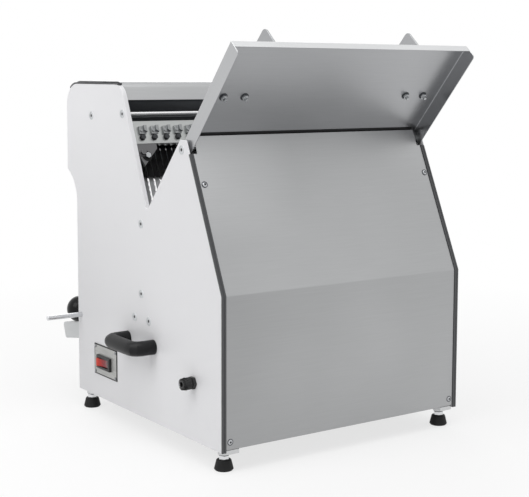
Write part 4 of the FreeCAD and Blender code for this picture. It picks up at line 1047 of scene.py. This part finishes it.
# %% [markdown]
# ## Cable gland
#
# A moulded gland grips the mains lead where it enters. Its dome nut has fine ribs for the
# fingers: a cylinder whose alternate side faces are pushed in, whose free end is drawn
# smaller, and whose mouth is inset and pushed in. Behind it a short neck leads to a hexagon
# on the plate.

# %% Cable gland
gland_middle = centre_of("cable_gland")
gland_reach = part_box("cable_gland")[1].x - plate_face
HEX_HEIGHT = 6 * MM
NECK = 1.4 * MM
RIBS = 18
RIB_INNER = 0.94
TAPER_START = 0.55
TAPER_END = 0.62
MOUTH_RIM = 2 * MM
MOUTH_DEPTH = 6 * MM
nut_length = gland_reach - HEX_HEIGHT - NECK
bpy.ops.mesh.primitive_cylinder_add(vertices=RIBS * 2, radius=10.2 * MM, depth=nut_length,
                                    location=(0, 0, nut_length / 2))
dome = bpy.context.object
settle(dome)
pick(dome, lambda centre, normal: abs(normal.z) < 0.1
     and round(math.atan2(centre.y, centre.x) / math.pi * RIBS + 0.5) % 2 == 0)
bpy.ops.mesh.extrude_region_move()
bpy.ops.transform.resize(value=(RIB_INNER, RIB_INNER, 1))
pick(dome)
bpy.ops.mesh.bisect(plane_co=(0, 0, nut_length * TAPER_START), plane_no=(0, 0, 1))
pick(dome, lambda centre, normal: normal.z > 0.9 and centre.z > nut_length * 0.9)
bpy.ops.transform.resize(value=(TAPER_END, TAPER_END, 1))
bpy.ops.mesh.inset(thickness=MOUTH_RIM, depth=0)
draw_out(0, 0, -MOUTH_DEPTH)
only(dome)
soften(dome, 0.35 * MM, angle=40)
hexagon = hexagon_head(11.2 * MM, HEX_HEIGHT, (0, 0, -NECK - HEX_HEIGHT / 2), edge=0.6 * MM)
neck = round_disc(8 * MM, NECK + 2 * MM, (0, 0, -NECK / 2), edge=0.1 * MM)
gland = joined([dome, neck, hexagon])
aimed(gland, (plate_face + HEX_HEIGHT + NECK, gland_middle.y, gland_middle.z), (1, 0, 0))
complete(gland, "ribbed_cable_gland", "housing", gland_plastic, ("cable_gland",),
         35)

# %% [markdown]
# ## Rubber feet
#
# A foot is a moulded rubber cone with a rounded shoulder and a chamfered tread. A cylinder
# is the start: its top face is drawn smaller and its rims are rounded with the bevel tool.
# A bright collar and a dark spring washer sit between the lock nut and the bracket.

# %% Rubber feet
PAD_TOP = 0.73
COLLAR_RISE = 9.8 * MM
COLLAR_HEIGHT = 4.4 * MM
for node in sorted(name for name in nodes if name.startswith("foot_pad")):
    corner = node.removeprefix("foot_pad")
    low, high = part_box(node)
    middle = (low + high) / 2
    bpy.ops.mesh.primitive_cylinder_add(vertices=48, radius=(high.x - low.x) / 2,
                                        depth=high.z - low.z, location=middle)
    pad = bpy.context.object
    settle(pad)
    pick(pad, lambda centre, normal: normal.z > 0.9)
    bpy.ops.transform.resize(value=(PAD_TOP, PAD_TOP, 1), center_override=middle)
    pick(pad, lambda place, along: place.z > high.z - MM, "EDGE")
    bpy.ops.mesh.bevel(offset=2.2 * MM, segments=4)
    pick(pad, lambda place, along: place.z < low.z + MM, "EDGE")
    bpy.ops.mesh.bevel(offset=2.4 * MM, segments=1)
    complete(pad, "rubber_foot" + corner, BODY_OF[node], black_rubber, (node,), 35)
    bolt_body = BODY_OF["foot_bolt" + corner]
    middle.z = high.z + COLLAR_RISE
    collar = round_disc(9.8 * MM, COLLAR_HEIGHT, middle, edge=0.8 * MM)
    complete(collar, "lock_collar" + corner, bolt_body, bracket_steel)
    middle.z -= COLLAR_HEIGHT / 2 + 0.3 * MM
    spring = round_disc(8.2 * MM, WASHER_THICK, middle, edge=0.2 * MM)
    complete(spring, "spring_washer" + corner, bolt_body, dark_rod_and_shade_steel)

# %% [markdown]
# ## Nuts and fold highlights in the lid
#
# The pushers' studs come through the lid and end in hexagon nuts, with the rounded stud
# end standing a little out of each. Where the side flanges are folded up, two narrow bright
# bars laid in the corners along the lid are a painted highlight of the fold.

# %% Nuts and fold highlights
studs = own_copy("lid_studs", "lid_stud_nuts")
soften(studs, 0.6 * MM)
complete(studs, "lid_stud_nuts", "lid", stud_steel, ("lid_studs",))

stud_washers = []
stud_middles = sorted(solids_of("lid_studs"), key=lambda middle: middle.z)
# Each stud ends in a head and a nut; its upper end is enough to find its place.
for middle in stud_middles[len(stud_middles) // 2:]:
    seat = middle + sheet_normal * (sheet_level + WASHER_THICK / 2 - middle.dot(sheet_normal))
    stud_washers.append(aimed(round_disc(7.4 * MM, WASHER_THICK), seat, sheet_normal))
complete(joined(stud_washers), "lid_stud_washers", "lid", dark_rod_and_shade_steel)

FOLD = 0.9 * MM
SHEET = 1.5 * MM
flat = [point.co for point in lid.data.vertices
        if abs(point.co.dot(sheet_normal) - sheet_level) < 0.1 * MM]
span = [point.dot(lid_up) for point in flat]
across_fold = Vector((1, 0, 0)).cross(lid_up)
lid_axes = Matrix(((1, 0, 0), lid_up, across_fold)).transposed().to_4x4()
folds = []
for side in (1, -1):
    fold = box_piece((0, 0, 0), (FOLD, max(span) - min(span) - 4 * MM, FOLD), 0.2 * MM)
    middle = Vector((side * (lid_side - SHEET - FOLD / 2), 0, 0))
    middle += lid_up * (max(span) + min(span)) / 2 + sheet_normal * (sheet_level + FOLD / 2)
    fold.matrix_world = Matrix.Translation(middle) @ lid_axes
    settle(fold)
    folds.append(fold)
complete(joined(folds), "lid_fold_highlights", "lid", fold_highlight_steel)

# %% [markdown]
# ## Floor, sky and lamps
#
# The machine stands on a plain white floor in a white room. Near the machine the floor is
# a matt surface that takes a shadow, and with distance it fades into the white of the
# room, so that no horizon shows. The camera and shiny surfaces see that white; lamps and
# the softer light of the room reach the machine, at the level where colours keep their
# written value.

# %% Stage
FADE_START = 0.45
FADE_END = 1.6
WHITE_NEAR = 0.7
floor_coat, floor_tree, floor_shader = new_finish("white_floor", Roughness=0.9)
floor_shader.inputs["Base Color"].default_value = linear("#f4f4f4")


def seen_directly(tree):
    """1 for the camera and for mirror-like and clear surfaces, 0 for light that spreads."""
    ray = add_node(tree, "ShaderNodeLightPath").outputs
    sharp = calculated(tree, "MAXIMUM", ray["Is Camera Ray"], ray["Is Glossy Ray"])
    return calculated(tree, "MAXIMUM", sharp, ray["Is Transmission Ray"])


where = add_node(floor_tree, "ShaderNodeTexCoord")
away = add_node(floor_tree, "ShaderNodeVectorMath", {"operation": "LENGTH"},
                _0=where.outputs["Object"])
fade = ranged(floor_tree, away.outputs["Value"], FADE_START, FADE_END, WHITE_NEAR, 1.0)
share = calculated(floor_tree, "MULTIPLY", fade, seen_directly(floor_tree))
glow = add_node(floor_tree, "ShaderNodeEmission", Color=(1, 1, 1, 1), Strength=1.0)
blend = add_node(floor_tree, "ShaderNodeMixShader", _0=share, _1=floor_shader.outputs[0],
                 _2=glow.outputs[0])
floor_tree.links.new(blend.outputs[0], floor_tree.nodes["Material Output"].inputs["Surface"])

bpy.ops.mesh.primitive_plane_add(size=ROOM_SIZE)
floor = bpy.context.object
floor.name = "floor"
floor.data.materials.append(floor_coat)

world = bpy.data.worlds.new("white_room")
scene.world = world
world.use_nodes = True
sky = world.node_tree
sky.nodes.clear()
soft = add_node(sky, "ShaderNodeBackground", Color=(1, 1, 1, 1), Strength=0.45)
white = add_node(sky, "ShaderNodeBackground", Color=(1, 1, 1, 1), Strength=1.0)
mixed = add_node(sky, "ShaderNodeMixShader", _0=seen_directly(sky), _1=soft.outputs[0],
                 _2=white.outputs[0])
add_node(sky, "ShaderNodeOutputWorld", Surface=mixed.outputs[0])


def softbox(name, place, aim, size, power):
    """A square area lamp aimed at a point."""
    bpy.ops.object.light_add(type="AREA", location=place)
    lamp = bpy.context.object
    lamp.name = name
    lamp.data.shape = "SQUARE"
    lamp.data.size = size
    lamp.data.energy = power
    lamp.rotation_euler = (Vector(aim) - Vector(place)).to_track_quat("-Z", "Y").to_euler()


MIDDLE = (0, 0, 0.45)
softbox("top_softbox", (0.6, 0.8, 3.0), MIDDLE, 2.4, 40)
softbox("side_softbox", (2.6, 0.1, 2.2), MIDDLE, 1.8, 25)
softbox("front_softbox", (-1.6, -2.8, 1.8), MIDDLE, 2.0, 22)
